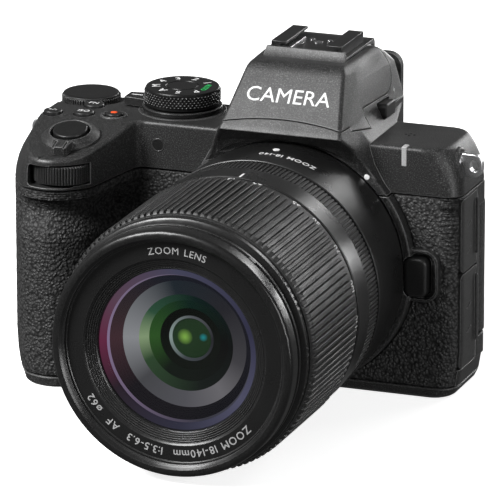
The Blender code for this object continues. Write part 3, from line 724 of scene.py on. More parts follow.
def make_front_barrel(shell, satin, ink):
    outer = [
        (29.5, 60.0), (29.5, 95.2), (34.9, 95.2), (35.1, 95.5), (35.1, 96.9), (34.6, 97.3), (33.3, 97.6),
        (33.3, 98.6), (34.1, 98.8), (34.1, 99.7), (33.4, 99.9), (33.4, 100.9), (34.0, 101.1),
        (34.1, 101.3), (34.1, 104.6), (33.9, 105.3), (33.4, 105.8), (32.6, 106.0), (31.9, 105.9),
        (31.5, 105.5),
    ]
    thread = stepped(31.3, 105.3, 0, 0.55, [(0, 0), (-0.3, -0.25), (0, -0.5)], 3)
    name_ring = [(30.6, 103.6), (30.4, 103.4), (25.9, 103.4), (25.6, 103.2)]
    baffle = stepped(25.4, 103.0, 0.55, 0.22, [(0, 0), (0, -0.35), (-0.4, -0.2)])
    well = [(22.5, 101.6), (22.3, 101.2), (22.3, 97.0), (27.8, 97.0), (27.8, 60.0)]
    profile = outer + thread + name_ring + baffle + well
    barrel = turned("front_barrel_shell", profile, LENS_VIEW, shell, True, 192)
    place(barrel, "front_barrel", "lens_shell", "front_barrel")
    texts = {
        "name_ring_text": ("ZOOM 18-140mm  1:3.5-6.3  AF  ø62", 3.0, -95.0),
        "name_ring_title": ("ZOOM LENS", 2.7, 88.0),
    }
    for name, (text, size, middle) in texts.items():
        words = arc_text(name, text, size, 27.1, middle, 103.43, ink, True)
        place(words, "front_barrel", "lens_shell")
    catch = spun(box("hood_catch", (-1.1, -101.0, 33.3), (1.1, -99.7, 34.2), satin, 0.15), 38)
    place(catch, "front_barrel", "dark_metal")


# Painted reflections seen through the front glass: colours painted once round the lens axis, roughness and
# painted glow.
PAINTED_REFLECTIONS = {
    "rim_painted_reflection": ([
        (0.0, (0.20, 0.035, 0.09)), (0.10, (0.035, 0.022, 0.035)), (0.25, (0.045, 0.045, 0.08)),
        (0.40, (0.13, 0.13, 0.22)), (0.55, (0.05, 0.05, 0.10)), (0.75, (0.10, 0.10, 0.17)),
        (0.9, (0.16, 0.09, 0.14)), (1.0, (0.20, 0.035, 0.09)),
    ], 0.25, 0.55),
    "line_painted_reflection": ([
        (0.0, (0.30, 0.22, 0.36)), (0.3, (0.05, 0.05, 0.07)), (0.6, (0.10, 0.10, 0.13)),
        (1.0, (0.30, 0.22, 0.36)),
    ], 0.2, 0.7),
    "maroon_painted_reflection": ([
        (0.0, (0.075, 0.035, 0.045)), (0.12, (0.010, 0.008, 0.012)), (0.35, (0.006, 0.006, 0.010)),
        (0.55, (0.012, 0.012, 0.020)), (0.8, (0.016, 0.018, 0.028)), (0.93, (0.045, 0.03, 0.035)),
        (1.0, (0.075, 0.035, 0.045)),
    ], 0.3, 0.6),
    "cone_painted_reflection": ([
        (0.0, (0.30, 0.31, 0.33)), (0.12, (0.07, 0.072, 0.08)), (0.25, (0.10, 0.10, 0.115)),
        (0.36, (0.17, 0.165, 0.18)), (0.46, (0.06, 0.058, 0.066)), (0.62, (0.020, 0.020, 0.026)),
        (0.78, (0.016, 0.024, 0.032)), (1.0, (0.30, 0.31, 0.33)),
    ], 0.35, 0.75),
    "green_painted_reflection": ([
        (0.0, (0.27, 0.38, 0.21)), (0.08, (0.03, 0.07, 0.03)), (0.3, (0.004, 0.008, 0.006)),
        (0.5, (0.001, 0.002, 0.002)), (0.72, (0.004, 0.016, 0.014)), (0.90, (0.03, 0.09, 0.05)),
        (1.0, (0.27, 0.38, 0.21)),
    ], 0.25, 0.75),
    "deep_painted_reflection": ([
        (0.0, (0.03, 0.10, 0.02)), (0.15, (0.003, 0.008, 0.004)), (0.5, (0.001, 0.001, 0.001)),
        (0.75, (0.004, 0.020, 0.014)), (1.0, (0.03, 0.10, 0.02)),
    ], 0.25, 0.75),
    "lens_black": ([(0.0, (0.002, 0.004, 0.002)), (1.0, (0.002, 0.003, 0.002))], 0.2, 1.0),
    "inner_painted_reflection": ([
        (0.0, (0.28, 0.36, 0.34)), (0.2, (0.06, 0.07, 0.08)), (0.5, (0.02, 0.02, 0.025)),
        (0.75, (0.10, 0.11, 0.12)), (1.0, (0.28, 0.36, 0.34)),
    ], 0.2, 0.8),
}
# The rings with painted reflections, from the front inwards: their painted reflection, and a profile of
# (radius, distance from the sensor).
PAINTED_REFLECTION_RINGS = {
    "front_rim": ("rim_painted_reflection", [(22.2, 100.9), (22.2, 99.6), (20.6, 99.2), (20.6, 100.4)]),
    "front_rim_line": ("line_painted_reflection", [(20.6, 99.4), (20.6, 98.9), (20.1, 98.7), (20.1, 99.2)]),
    "front_steps": ("maroon_painted_reflection", stepped(20.1, 98.6, 0.52, 0.55, [(0, 0), (-0.1, -0.4)]) + [
        (17.4, 95.3), (22.2, 95.3), (22.2, 98.6),
    ]),
    "grey_cone": ("cone_painted_reflection", [(17.5, 95.7), (13.4, 94.6), (13.4, 94.2), (17.5, 95.2)]),
    "green_cup": ("green_painted_reflection", [(13.4, 94.4), (11.2, 92.6), (11.2, 92.3), (13.6, 94.0)]),
    "green_cup_inner": ("deep_painted_reflection", [(11.2, 92.6), (8.6, 91.2), (8.6, 90.9), (11.2, 92.2)]),
    "dark_throat": ("lens_black", [(8.6, 91.1), (6.3, 90.4), (6.3, 90.0), (8.6, 90.7)]),
    "inner_rim": ("inner_painted_reflection", [(6.3, 90.5), (5.6, 90.5), (5.6, 89.8), (6.3, 89.8)]),
}
GLASS_R = 22.2
GLASS_HALF_ANGLE = 24
GLASS_FRONT = 104.6
GLASS_CURVE_R = 54.6
GLASS_THICKNESS = 0.7


def make_front_glass():
    """The front element and what shows through it: rims, a grey cone and the green groups behind, with
    painted reflections and glow.
    """
    outside = []
    for angle in range(0, GLASS_HALF_ANGLE + 1, 2):
        radius = GLASS_R * math.sin(math.radians(angle)) / math.sin(math.radians(GLASS_HALF_ANGLE))
        sag = GLASS_CURVE_R * (1 - math.cos(math.radians(angle)))
        outside.append((max(radius, 0.02), GLASS_FRONT - sag))
    inside = [(radius, y - GLASS_THICKNESS) for radius, y in reversed(outside)]
    coating = clear_glass("front_coating", (0.93, 0.92, 0.98))
    dome = turned("front_glass", outside + inside, LENS_VIEW, coating)
    place(dome, "front_barrel", "coated_glass", "front_element")
    for name, (look, profile) in PAINTED_REFLECTION_RINGS.items():
        # each ring gets painted reflections that glow
        ring = turned(name, profile, LENS_VIEW, painted_reflection_ring(look, *PAINTED_REFLECTIONS[look]), True, 160)
        place(ring, "front_barrel", "lens_shell")
    profile = [(5.7, 89.4), (5.7, 89.9), (4.4, 90.3), (2.6, 90.55), (0.9, 90.65)]
    inner = turned("inner_glass", profile, LENS_VIEW, inner_green_painted_reflections(), count=96)
    place(inner, "front_barrel", "coated_glass")


def make_lens(looks):
    make_rear_barrel(looks["lens_shell"], looks["white_ink"])
    make_lens_rings(looks["lens_rubber"], looks["white_ink"])
    make_front_barrel(looks["lens_shell"], looks["black_metal"], looks["grey_ink"])
    make_front_glass()


# ---------------------------------------------------------------- body

SIDE_X = 48.5
GRIP_X = -78.5
FRONT_Y = -12.0
REAR_Y = 12.8
PLATE_TOP = 3.0
GAP = 0.3
SEAM_Z = 58.2
TOP_Z = 71.7
GRIP_SLOPE = 0.227
GRIP_TILT = math.atan(GRIP_SLOPE)
GRIP_NORMAL = Vector((0, -math.sin(GRIP_TILT), math.cos(GRIP_TILT)))
TOP_EDGE_R = 1.1
CREASE = 1.5
BORE_R = 28.5
BOSS_R = 36.0
BOSS_FACE = 15.4
BOSS_SEAT = 13.2
MOUNT_R = 33.4
RIGHT_SEAM_Y = -9.2
LEFT_SEAM_Y = 2.0
RELEASE = (36.5, 34.9)
RELEASE_SHAPE = (6.6, 11.2, 2.0)
RELEASE_SHIFT = (0.7, 0.8)
PAD_SHAPE = (12.8, 15.0, 4.0)
PAD_SHIFT = (0.4, 1.0)
TRAY_SHAPE = (11.2, 13.4, 3.3)
FN_BUTTONS = {"fn1_button": (-39.0, 47.0), "fn2_button": (-39.6, 33.0)}
FN_R = 3.2
SIDE_VIEW = stand((0, 0, 0), (1, 0, 0), (0, 1, 0))

# Outline from above: x, y, radius, arc steps, and which way the sides tuck in at the base.
PLAN = [
    (SIDE_X, FRONT_Y, 5.5, 12, -1),
    (SIDE_X, REAR_Y, 3.0, 8, -1),
    (GRIP_X, REAR_Y, 6.0, 10, 1),
    (GRIP_X, -12.0, 30.0, 6, 1),
    (-76.6, -28.5, 14.0, 8, 1),
    (-70.5, -38.0, 8.0, 8, 0.5),
    (-60.5, -40.3, 9.0, 10, 0),
    (-52.6, -33.5, 12.0, 8, 0),
    (-48.4, -21.5, 22.0, 6, 0),
    (-45.6, FRONT_Y, 2.6, 8, 0),
]
TUCKS = [(0.0, 3.0), (1.2, 1.9), (PLATE_TOP, 1.2), (8.0, 0.4), (14.0, 0.0), (SEAM_Z, 0.0)]
TUCKS += [(62.0, 0.4), (65.5, 1.2), (68.5, 2.3), (70.2, 3.2), (TOP_Z, 3.9)]
CORNER_GROWTH = 0.8
LIP_DROP = 1.2


def tuck_at(z):
    for (low, first), (high, second) in zip(TUCKS, TUCKS[1:]):
        if z <= high:
            return first + (second - first) * (max(z, low) - low) / (high - low)
    return TUCKS[-1][1]


def plan(z, inset=0.0):
    """The body's outline at height z, pulled in by inset."""
    tuck = tuck_at(z)
    corners = shrink([(x + side * tuck, y) for x, y, _, _, side in PLAN], inset)
    arcs = []
    for (x, y), (_, _, radius, steps, side) in zip(corners, PLAN):
        hollow = (x, y) == corners[-1]
        if side < 0 and z > SEAM_Z:
            radius += CORNER_GROWTH * tuck
        arcs.append((x, y, radius + inset if hollow else max(radius - inset, 0.5), steps))
    return [(x, y, z) for x, y in rounded(arcs)]


def dense(loop, step=1.6):
    """The loop with its long straight stretches divided."""
    points = []
    for i, point in enumerate(loop):
        after = Vector(loop[(i + 1) % len(loop)])
        count = max(1, round((after - Vector(point)).length / step))
        points += [tuple(Vector(point).lerp(after, k / count)) for k in range(count)]
    return points


def body_loft(name, inset, low, high, surface=None):
    levels = [low] + [z for z, _ in TUCKS if low < z < high] + [high]
    return loft(name, [plan(z, inset) for z in levels], surface)


def lens_disc(radius, near, far):
    """A helper cylinder on the lens axis, between two distances in front of the sensor."""
    return drill(LENS_VIEW, radius, near, far, 128)


def top_view(x, y, z=TOP_Z):
    return stand((x, y, z), UPWARD)


def smoothstep(low, high, value):
    share = min(max((value - low) / (high - low), 0.0), 1.0)
    return share * share * (3 - 2 * share)


def finger_recess(x, y, z):
    """How deep the leather is pressed in under the lip at the top of the grip."""
    along = smoothstep(-76.5, -69.0, x) * (1 - smoothstep(-47.5, -45.5, x)) * smoothstep(-14.0, -20.0, y)
    under_lip = smoothstep(55.6, 54.7, z) * 1.3 + smoothstep(55.2, 51.0, z) * 1.4
    return along * under_lip * smoothstep(42.0, 52.0, z)


def leather_levels():
    levels = [PLATE_TOP + GAP, 4.0, 5.5, 8.0, 11.0, 14.0]
    levels += [14.0 + 4.0 * k for k in range(1, 7)]
    levels += [40.0 + 1.2 * k for k in range(1, 13)]
    levels += [53.8, 54.7, 54.9, 55.1, 55.3, 55.6, 56.2, 56.9, 57.5]
    return sorted(set(levels))


def leather_loop(z, inset):
    """The leather's outline at a height, pressed in by the finger recess, and rolled in at its edges."""
    loop = dense(plan(z))
    points = []
    for i, (x, y, _) in enumerate(loop):
        ahead = Vector(loop[(i + 1) % len(loop)]) - Vector(loop[i - 1])
        inward = Vector((-ahead.y, ahead.x, 0)).normalized()
        depth = inset + finger_recess(x, y, z)
        height = z - lip_drop(y) * smoothstep(44.0, 57.0, z)
        points.append((x + inward.x * depth, y + inward.y * depth, height))
    return points


def lip_drop(y):
    """How far the parting line under the top cover dips round the front of the grip."""
    return LIP_DROP * smoothstep(-16.0, -32.0, y)


def make_leathers(surface):
    """The two covers of the body's front, with the holes that pieces come through."""
    levels = leather_levels()
    loops = [leather_loop(levels[0], 0.35)] + [leather_loop(z, 0.0) for z in levels[1:]]
    loops += [leather_loop(57.75, 0.12), leather_loop(57.9, 0.45)]
    halves = {
        "leather_grip": ((-90, -60, -5), (-4, LEFT_SEAM_Y, 90), "grip_leather"),
        "leather_front": ((4.37, -60, -5), (60, RIGHT_SEAM_Y - 0.07, 90), "front_leather"),
    }
    for name, (low, high, cad_node) in halves.items():
        leather = loft(name, loops, surface)
        keep(leather, box("side", low, high))
        holes = [lens_disc(BOSS_R + GAP, 0, 30), body_loft("core", 4.0, 0, 60)]
        if name == "leather_front":
            width, height, radius = PAD_SHAPE
            pad = panel(width + 2 * GAP, height + 2 * GAP, radius + GAP, centre=PAD_SHIFT)
            holes.append(slab("hole", pad, front_view(*RELEASE), 5, 30))
        else:
            holes += [drill(front_view(x, z), FN_R + GAP, 5, 30) for x, z in FN_BUTTONS.values()]
        cut(leather, *holes)
        place(leather, "body", "grip_leather", cad_node)


def boss_profile(back):
    """The ring that carries the lens mount."""
    return [(BORE_R, back), (BOSS_R, back)] + soft_rim(BOSS_R, BOSS_FACE, 0.7) + [
        (MOUNT_R + 0.7, BOSS_FACE), (MOUNT_R + GAP, BOSS_FACE - 0.4), (MOUNT_R + GAP, BOSS_SEAT),
        (BORE_R, BOSS_SEAT),
    ]


def make_front_cover(paint, ink):
    cover = body_loft("front_body", 3.4, PLATE_TOP + GAP, SEAM_Z - GAP, paint)
    cut(cover, lens_disc(BORE_R, -60, 40), box("rear", (-90, -4.9, -5), (60, 40, 90)))
    boss = turned("boss", boss_profile(8.0), LENS_VIEW, ring=True)
    cut(boss, box("above", (-50, -30, SEAM_Z - GAP), (60, 30, 90)))
    cut(boss, box("below", (-50, FRONT_Y - 0.1, -9), (60, 30, PLATE_TOP + 0.5)))
    pad = slab("pad", panel(*PAD_SHAPE, centre=PAD_SHIFT), front_view(*RELEASE), 6.0, 14.2, None, 0.4)
    tray = slab("tray", panel(*TRAY_SHAPE, centre=PAD_SHIFT), front_view(*RELEASE), 12.4, 20, None)
    cut(pad, lens_disc(BOSS_R - 1, -20, 40), tray)
    fuse(cover, boss, pad)
    hole = panel(RELEASE_SHAPE[0] + 2 * GAP, RELEASE_SHAPE[1] + 2 * GAP, 2.3, centre=RELEASE_SHIFT)
    cut(cover, slab("hole", hole, front_view(*RELEASE), -2, 30))
    for x, z in FN_BUTTONS.values():
        cut(cover, drill(front_view(x, z), FN_R + 1.2, 4.95, 30, 32))
    place(cover, "body", "body_paint", "front_cover")
    reach, turn = 34.9, math.radians(49)
    spot = stand((math.cos(turn) * reach, -BOSS_FACE, AXIS_Z + math.sin(turn) * reach), (0, -1, 0))
    dot = turned("body_mount_dot", [(0.8, -0.2), (0.8, 0.08), (0.6, 0.14)], spot, ink, count=32)
    place(dot, "body", "body_paint")


def key(name, profile, frame, surface, cad_node):
    """A round button on the body of its own name."""
    cap = turned(name, profile, frame, surface, count=64)
    place(cap, cad_node, "button_plastic", cad_node)


def make_front_buttons(plastic):
    outline = panel(*RELEASE_SHAPE, 10, centre=RELEASE_SHIFT)
    lozenge = slab("release_key", outline, front_view(*RELEASE), 9.5, 15.9, plastic, 1.0)
    place(lozenge, "lens_release", "button_plastic", "lens_release")
    for name, (x, z) in FN_BUTTONS.items():
        cap = [(FN_R + 0.8, 7.8), (FN_R + 0.8, 8.4), (FN_R, 8.4)]
        cap += soft_rim(FN_R, 12.7, 0.5) + [(FN_R - 1.4, 12.62), (0.6, 12.45)]
        key(name + "_cap", cap, front_view(x, z), plastic, name)


# ---------------------------------------------------------------- top cover and flash hood

SHUTTER = Vector((-60.5, -25.5, TOP_Z + GRIP_SLOPE * (-25.5 - FRONT_Y)))
MODE_DIAL = (-38.3, 3.0)
REAR_DIAL = (-67.9, 8.1)
FRONT_DIAL = (-61.0, -30.4)
TOP_BUTTONS = {
    "exposure_button": (-71.2, -12.5, 2.6),
    "iso_button": (-62.5, -11.0, 2.8),
    "record_button": (-54.0, -9.6, 2.4),
    "picture_button": (-62.8, -2.5, 2.8),
}
FLASH_PIVOT = (11.4, 86.2)
FLASH_END_R = 6.6
FLASH_END_TURN = 150
FLASH_BUTTON = (4.5, 12.5, 74.2, 78.2)
LENS_CLEAR_R = 36.2
DIOPTER_VIEW = stand((-21.3, 18.8, 77.0), (-1, 0, 0), (0, 1, 0))
PEDESTAL_HALF = 12.0
SHOE_FLOOR_Z = 93.2

# The hump: a height, then (half width, y) of its front corner, its flank's bend and its rear corner.
HUMP = [
    (SEAM_Z + 0.4, (27.8, -13.6), (28.4, -11.0), (27.0, 11.0)),
    (66.0, (23.0, -16.2), (24.2, -11.0), (24.5, 12.0)),
    (TOP_Z, (20.2, -19.5), (22.5, -11.0), (22.4, 13.0)),
    (74.8, (18.2, -22.75), (19.7, -11.0), (21.1, 21.5)),
    (75.1, (17.95, -22.95), (19.5, -11.0), (21.05, 22.3)),
    (75.4, (17.8, -22.9), (19.3, -11.0), (20.95, 22.7)),
    (77.0, (17.3, -21.5), (18.3, -9.0), (20.6, 24.0)),
    (86.2, (15.2, -13.6), (16.0, -4.0), (18.0, 24.0)),
    (89.0, (14.6, -11.15), (15.1, -3.3), (16.4, 21.3)),
    (90.1, (14.3, -10.1), (14.7, -3.0), (15.7, 19.8)),
    (90.8, (13.85, -9.2), (14.2, -3.0), (15.1, 18.7)),
    (91.3, (13.1, -8.1), (13.4, -3.0), (14.3, 17.5)),
    (91.6, (12.3, -6.9), (12.6, -3.0), (13.5, 16.4)),
]
HUMP_RADII = (1.1, 6.0, 2.4)
HUMP_SHOULDER_Z = 90
ARCH_RISE = 1.6
ARCH_HALF = 17.6
ARCH_LOW_Z = 77.0
ARCH_DEPTH = -15.5


def hump_loft(name, inset=0.0, surface=None):
    loops = []
    for z, *half in HUMP:
        height = z - inset if z > HUMP_SHOULDER_Z else z
        corners = shrink(half + [(-x, y) for x, y in reversed(half)], inset)
        radii = [max(radius - inset, 0.4) for radius in HUMP_RADII + HUMP_RADII[::-1]]
        outline = rounded([(x, y, radius, 8) for (x, y), radius in zip(corners, radii)])
        loops.append([(x, y, height) for x, y in outline])
    return loft(name, loops, surface)


def brow_arch(name, drop):
    """A helper under the arched lower edge of the hood's front, lowered by drop."""
    arch = []
    for k in range(25):
        x = ARCH_HALF * (1 - 2 * k / 24)
        arch.append((x, ARCH_LOW_Z + ARCH_RISE * (1 - (x / ARCH_HALF) ** 2) - drop))
    ends = [(-40, ARCH_LOW_Z - drop), (-40, 60), (40, 60), (40, ARCH_LOW_Z - drop)]
    return slab(name, arch + ends, front_view(0, 0), -ARCH_DEPTH, 40)


def side_prism(profile, grow=0.0):
    return slab("side", shrink(profile, -grow), SIDE_VIEW, -40, 40)


def hood_profile():
    """The flash hood's side view as (y, z); its rear end is round about the pivot."""
    y, z = FLASH_PIVOT
    arc = []
    for k in range(25):
        angle = math.radians(-90 + FLASH_END_TURN * k / 24)
        arc.append((y + FLASH_END_R * math.cos(angle), z + FLASH_END_R * math.sin(angle)))
    return [(-40, 77.0), (-21.5, 77.0), (-5, 74.2), (-5, z - FLASH_END_R)] + arc + [(y, 110), (-40, 110)]


def grip_drop(y):
    """How far the grip's top lies under the top plate, with a soft crease where the slope starts."""
    ahead = max(FRONT_Y - y, 0.0)
    if ahead < 2 * CREASE:
        return GRIP_SLOPE * ahead * ahead / (4 * CREASE)
    return GRIP_SLOPE * (ahead - CREASE)


def slope(body):
    """Divides the top cover's block along the crease, and lowers what lies over the grip."""
    for k in range(5):
        crease = (0, (FRONT_Y - 2 * CREASE * k / 4) * MM, 0)
        geometry = list(body.verts) + list(body.edges) + list(body.faces)
        bmesh.ops.bisect_plane(body, geom=geometry, dist=1e-7, plane_co=crease, plane_no=(0, 1, 0))
    floor_z, full_z = SEAM_Z + 0.4, TOP_Z - TOP_EDGE_R - 0.1
    for vertex in body.verts:
        share = min(max((vertex.co.z / MM - floor_z) / (full_z - floor_z), 0.0), 1.0)
        y = vertex.co.y / MM
        vertex.co.z -= (grip_drop(y) * share + lip_drop(y) * (1 - share)) * MM


def deck(name, surface):
    """The top cover's main block: flat behind, sloping over the grip, with a rounded top edge."""
    edge, side_top = TOP_EDGE_R, TOP_Z - TOP_EDGE_R
    loops = [plan(SEAM_Z, 0.3), plan(SEAM_Z + 0.3)]
    loops += [plan(z) for z, _ in TUCKS if SEAM_Z + 0.3 < z < side_top] + [plan(side_top)]
    for k in range(1, 7):
        angle = math.radians(15 * k)
        loops.append(plan(side_top + edge * math.sin(angle), edge - edge * math.cos(angle)))
    block = loft(name, loops, surface)
    edited(block.data, slope)
    return smooth(block)


def make_top_cover(paint):
    cover = deck("top_body", paint)
    rear_block = rounded([(20.8, 11, 1, 4), (20.8, 24, 3, 8), (-20.8, 24, 3, 8), (-20.8, 11, 1, 4)])
    upper_boss = turned("boss", boss_profile(11.4), LENS_VIEW, ring=True)
    cut(upper_boss, box("under", (-50, -30, -20), (50, 30, SEAM_Z + 0.2)))
    hump = hump_loft("hump")
    cut(hump, side_prism(hood_profile(), grow=GAP))
    brow = hump_loft("brow")
    keep(brow, brow_arch("arch", GAP))
    fuse(hump, brow)
    cut(hump, lens_disc(LENS_CLEAR_R, 16.5, 40), lens_disc(MOUNT_R + 1.2, 12.8, 40))
    fuse(cover, hump, slab("block", rear_block, Matrix(), 66.5, 76.5))
    cut(cover, lens_disc(BORE_R, -1, 40))
    fuse(cover, upper_boss)
    cut(cover, *top_holes())
    make_pedestal(cover)
    place(cover, "body", "body_paint", "top_cover")


def top_holes():
    """Helpers for all that is let into the top cover."""
    x, y = FRONT_DIAL
    grip_top = stand(SHUTTER, GRIP_NORMAL)
    front, rear, low, high = FLASH_BUTTON
    dish = [(9.0, -1.3), (9.5, -1.2), (11.6, 0.0), (11.6, 3.0)]
    holes = [
        slab("mouth", panel(13.2, 6.2, 1.2, 6), front_view(x - 0.9, 60.9), 33.5, 60),
        drill(top_view(x, y, 0), 8.9, 58.2, 64.3),
        drill(top_view(*REAR_DIAL), 8.5, -6.4, 5),
        turned("dish", dish, top_view(*REAR_DIAL), count=96),
        drill(top_view(*MODE_DIAL), 3.4, -6, 8),
        drill(grip_top, 3.8, -6, 8),
        drill(grip_top, 5.3, -0.9, 8),
        drill(DIOPTER_VIEW, 1.7, -3, 9, 32),
    ]
    holes += [drill(top_view(x, y), radius + GAP, -6, 8) for x, y, radius in TOP_BUTTONS.values()]
    holes.append(box("slot", (17.2, front - GAP, low - GAP), (30, rear + GAP, high + GAP)))
    holes.append(box("tunnel", (-9.6, -1.0, 72.8), (9.6, 40, 82.8)))
    return holes


def make_pedestal(cover):
    """The block under the accessory shoe; its front leans back, and it is a little narrower at the top."""
    outline = [
        (-3, 70), (-3.4, 88), (-3.4, 91.2), (-1.9, 93.9), (-1.1, 93.9), (-1.1, 92.2), (22, 92.2), (22, 70),
    ]
    pedestal = slab("pedestal", outline, SIDE_VIEW, -PEDESTAL_HALF, PEDESTAL_HALF)
    for side in (1, -1):
        cheek = [(22, 95), (22, 91.2), (PEDESTAL_HALF, 91.2), (11.2, 95)]
        cheek = [(side * x, z) for x, z in cheek]
        cut(pedestal, slab("cheek", cheek[::side], front_view(0, 0), -40, 40))
    cut(pedestal, box("tunnel", (-9.8, -1.2, 66), (9.8, 40, 83.0)))
    fuse(cover, pedestal)


def make_flash_hood(paint, ink):
    hood = hump_loft("hood_shell", 0.0, paint)
    cut(hood, hump_loft("inner", 1.7))
    keep(hood, side_prism(hood_profile()))
    cut(hood, brow_arch("arch", 0.0))
    cut(hood, box("slot", (-PEDESTAL_HALF - 0.3, -3.8, 76.0), (PEDESTAL_HALF + 0.3, 40, 120)))
    place(hood, "flash", "body_paint", "flash_hood")
    tilt = math.atan2(7.9, 9.2)
    face = stand((0, -17.55, 81.6), (0, -math.cos(tilt), math.sin(tilt)))
    title = label("title", "CAMERA", 6.3, face @ Matrix.Translation((0, 0.9, 0.06)), ink, 0.0)
    place(title, "flash", "body_paint")


def make_shoe(dark, contact):
    profile = [
        (-10.4, 92.3), (10.4, 92.3), (10.4, 95.3), (6.0, 95.3), (6.0, 94.55), (9.3, 94.55),
        (9.3, SHOE_FLOOR_Z), (-9.3, SHOE_FLOOR_Z), (-9.3, 94.55), (-6.0, 94.55), (-6.0, 95.3),
        (-10.4, 95.3),
    ]
    shoe = slab("shoe_rails", profile, front_view(0, 0), -16.9, 1.0, dark)
    edge = shoe.modifiers.new("edge", "BEVEL")
    edge.width = 0.16 * MM
    edge.segments = 2
    place(shoe, "body", "dark_metal", "hot_shoe")
    pins = [(0.0, 8.5, 1.3), (-4.2, 6.0, 0.8), (-2.6, 11.0, 0.8), (2.6, 11.0, 0.8), (4.2, 6.0, 0.8)]
    for i, (x, y, radius) in enumerate(pins):
        profile = [(radius, -0.4), (radius, 0.2), (radius * 0.6, 0.35)]
        pin = turned(f"shoe_pin_{i}", profile, top_view(x, y, SHOE_FLOOR_Z), contact, count=32)
        place(pin, "body", "steel")
    outline = [(-7.6, -0.6), (-4.9, -0.6), (-4.9, 12.0), (-7.6, 12.0)]
    low, high = SHOE_FLOOR_Z + 0.05, SHOE_FLOOR_Z + 0.4
    spring = slab("shoe_spring", outline, Matrix(), low, high, contact, 0.1)
    place(spring, "body", "dark_metal")


# ---------------------------------------------------------------- controls on the top

DIAL_LETTERS = ["AUTO", "1", "2", "3", "4", "M", "A", "S", "P"]
DIAL_LETTER = 3.3
DIAL_WORD = 2.2
KNURL_TEETH = 60
KNURL_DEPTH = 0.42
MODE_DIAL_R = 10.85


def knurled(name, radius, band, frame, surface, below, above):
    """A turned knob whose side is cut into rows of small pyramids; band is their low, high and count."""
    low, high, rows = band
    teeth = KNURL_TEETH
    loops = [circle(frame, r, z, 2 * teeth) for r, z in below]
    for row in range(2 * rows + 1):
        z = low + (high - low) * row / (2 * rows)
        loop = []
        for i in range(2 * teeth):
            peak = row % 2 and (i + row // 2) % 2
            reach = radius if peak else radius - KNURL_DEPTH
            loop.append(polar(frame, reach, math.pi * i / teeth, z))
        loops.append(loop)
    loops += [circle(frame, r, z, 2 * teeth) for r, z in above]
    return loft(name, loops, surface)


def on_disc(centre, radius, angle, height):
    """A frame on a level disc, with the tops of its letters outward."""
    turn = math.radians(angle)
    out = Vector((math.cos(turn), math.sin(turn), 0))
    return stand(Vector((*centre, height)) + out * radius, UPWARD, Vector((out.y, -out.x, 0)))


def make_mode_dial(knurl_painted_glint, metal_black, paint, white, green):
    frame = top_view(*MODE_DIAL)
    below = [(3.0, -4.0), (3.0, 1.9), (10.1, 1.9), (10.4, 2.1), (10.4, 2.7)]
    above = [
        (10.45, 6.3), (10.4, 6.55), (10.25, 6.8), (10.0, 6.9), (4.8, 6.9), (4.65, 6.6), (4.35, 6.6),
        (4.2, 6.9), (0.4, 6.9),
    ]
    dial = knurled("mode_dial_knob", MODE_DIAL_R, (2.8, 6.2, 5), frame, knurl_painted_glint, below, above)
    place(dial, "mode_dial", "dark_metal", "mode_dial")
    for i, text in enumerate(DIAL_LETTERS):
        size = DIAL_WORD if len(text) > 1 else DIAL_LETTER
        spot = on_disc(MODE_DIAL, 6.3, 1 + 40 * i, TOP_Z + 6.93)
        letters = label(f"dial_mark_{i}", text, size, spot, green if i == 0 else white, 0.04)
        place(letters, "mode_dial", "dark_metal")
    profile = [(3.5, 0.3), (10.9, 0.3), (11.2, 0.5), (11.2, 1.4), (11.0, 1.6), (3.5, 1.6)]
    ring = turned("lever_ring", profile, frame, metal_black, True)
    corners = [(-16.6, -2.6, 0.5, 4), (-10.0, -3.6, 0.1, 1), (-10.0, 3.6, 0.1, 1), (-16.6, 2.6, 0.5, 4)]
    tip = slab("tip", rounded(corners), frame, 0.5, 2.9, None, 0.35)
    cut(tip, drill(frame, 11.0, 1.9, 5, 96))
    fuse(ring, tip)
    place(ring, "photo_video_lever", "dark_metal", "photo_video_lever")
    mark = panel(3.4, 0.55, 0.2, centre=(-13.6, 0))
    place(slab("lever_line", mark, frame, 2.88, 2.95, white), "photo_video_lever", "dark_metal")
    profile = [(3.4, -0.6), (12.4, -0.6), (12.4, 0.0), (12.1, 0.2), (3.4, 0.2)]
    place(turned("dial_collar", profile, frame, paint, True), "body", "body_paint")


def make_command_dials(metal_black):
    rows = [
        (0.4, -5.7, 0), (7.7, -5.7, 0), (7.75, -5.3, 0), (7.85, -5.0, 0.5), (7.85, 0.25, 0.5),
        (7.75, 0.4, 0), (7.95, 0.55, 0), (7.9, 0.8, 0), (7.6, 1.0, 0), (6.8, 1.05, 0), (0.4, 1.0, 0),
    ]
    rear = toothed("rear_dial_knob", rows, top_view(*REAR_DIAL), metal_black, 64, TOOTH, False)
    place(rear, "rear_dial", "dark_metal", "rear_dial")
    rows = [
        (0.4, 58.5, 0), (7.8, 58.5, 0), (7.95, 58.6, 0), (8.0, 58.7, 0.45), (8.0, 63.5, 0.45),
        (7.9, 63.75, 0), (0.4, 63.8, 0),
    ]
    front = toothed("front_dial_wheel", rows, top_view(*FRONT_DIAL, 0), metal_black, 64, TOOTH, False)
    place(front, "front_dial", "dark_metal", "front_dial")


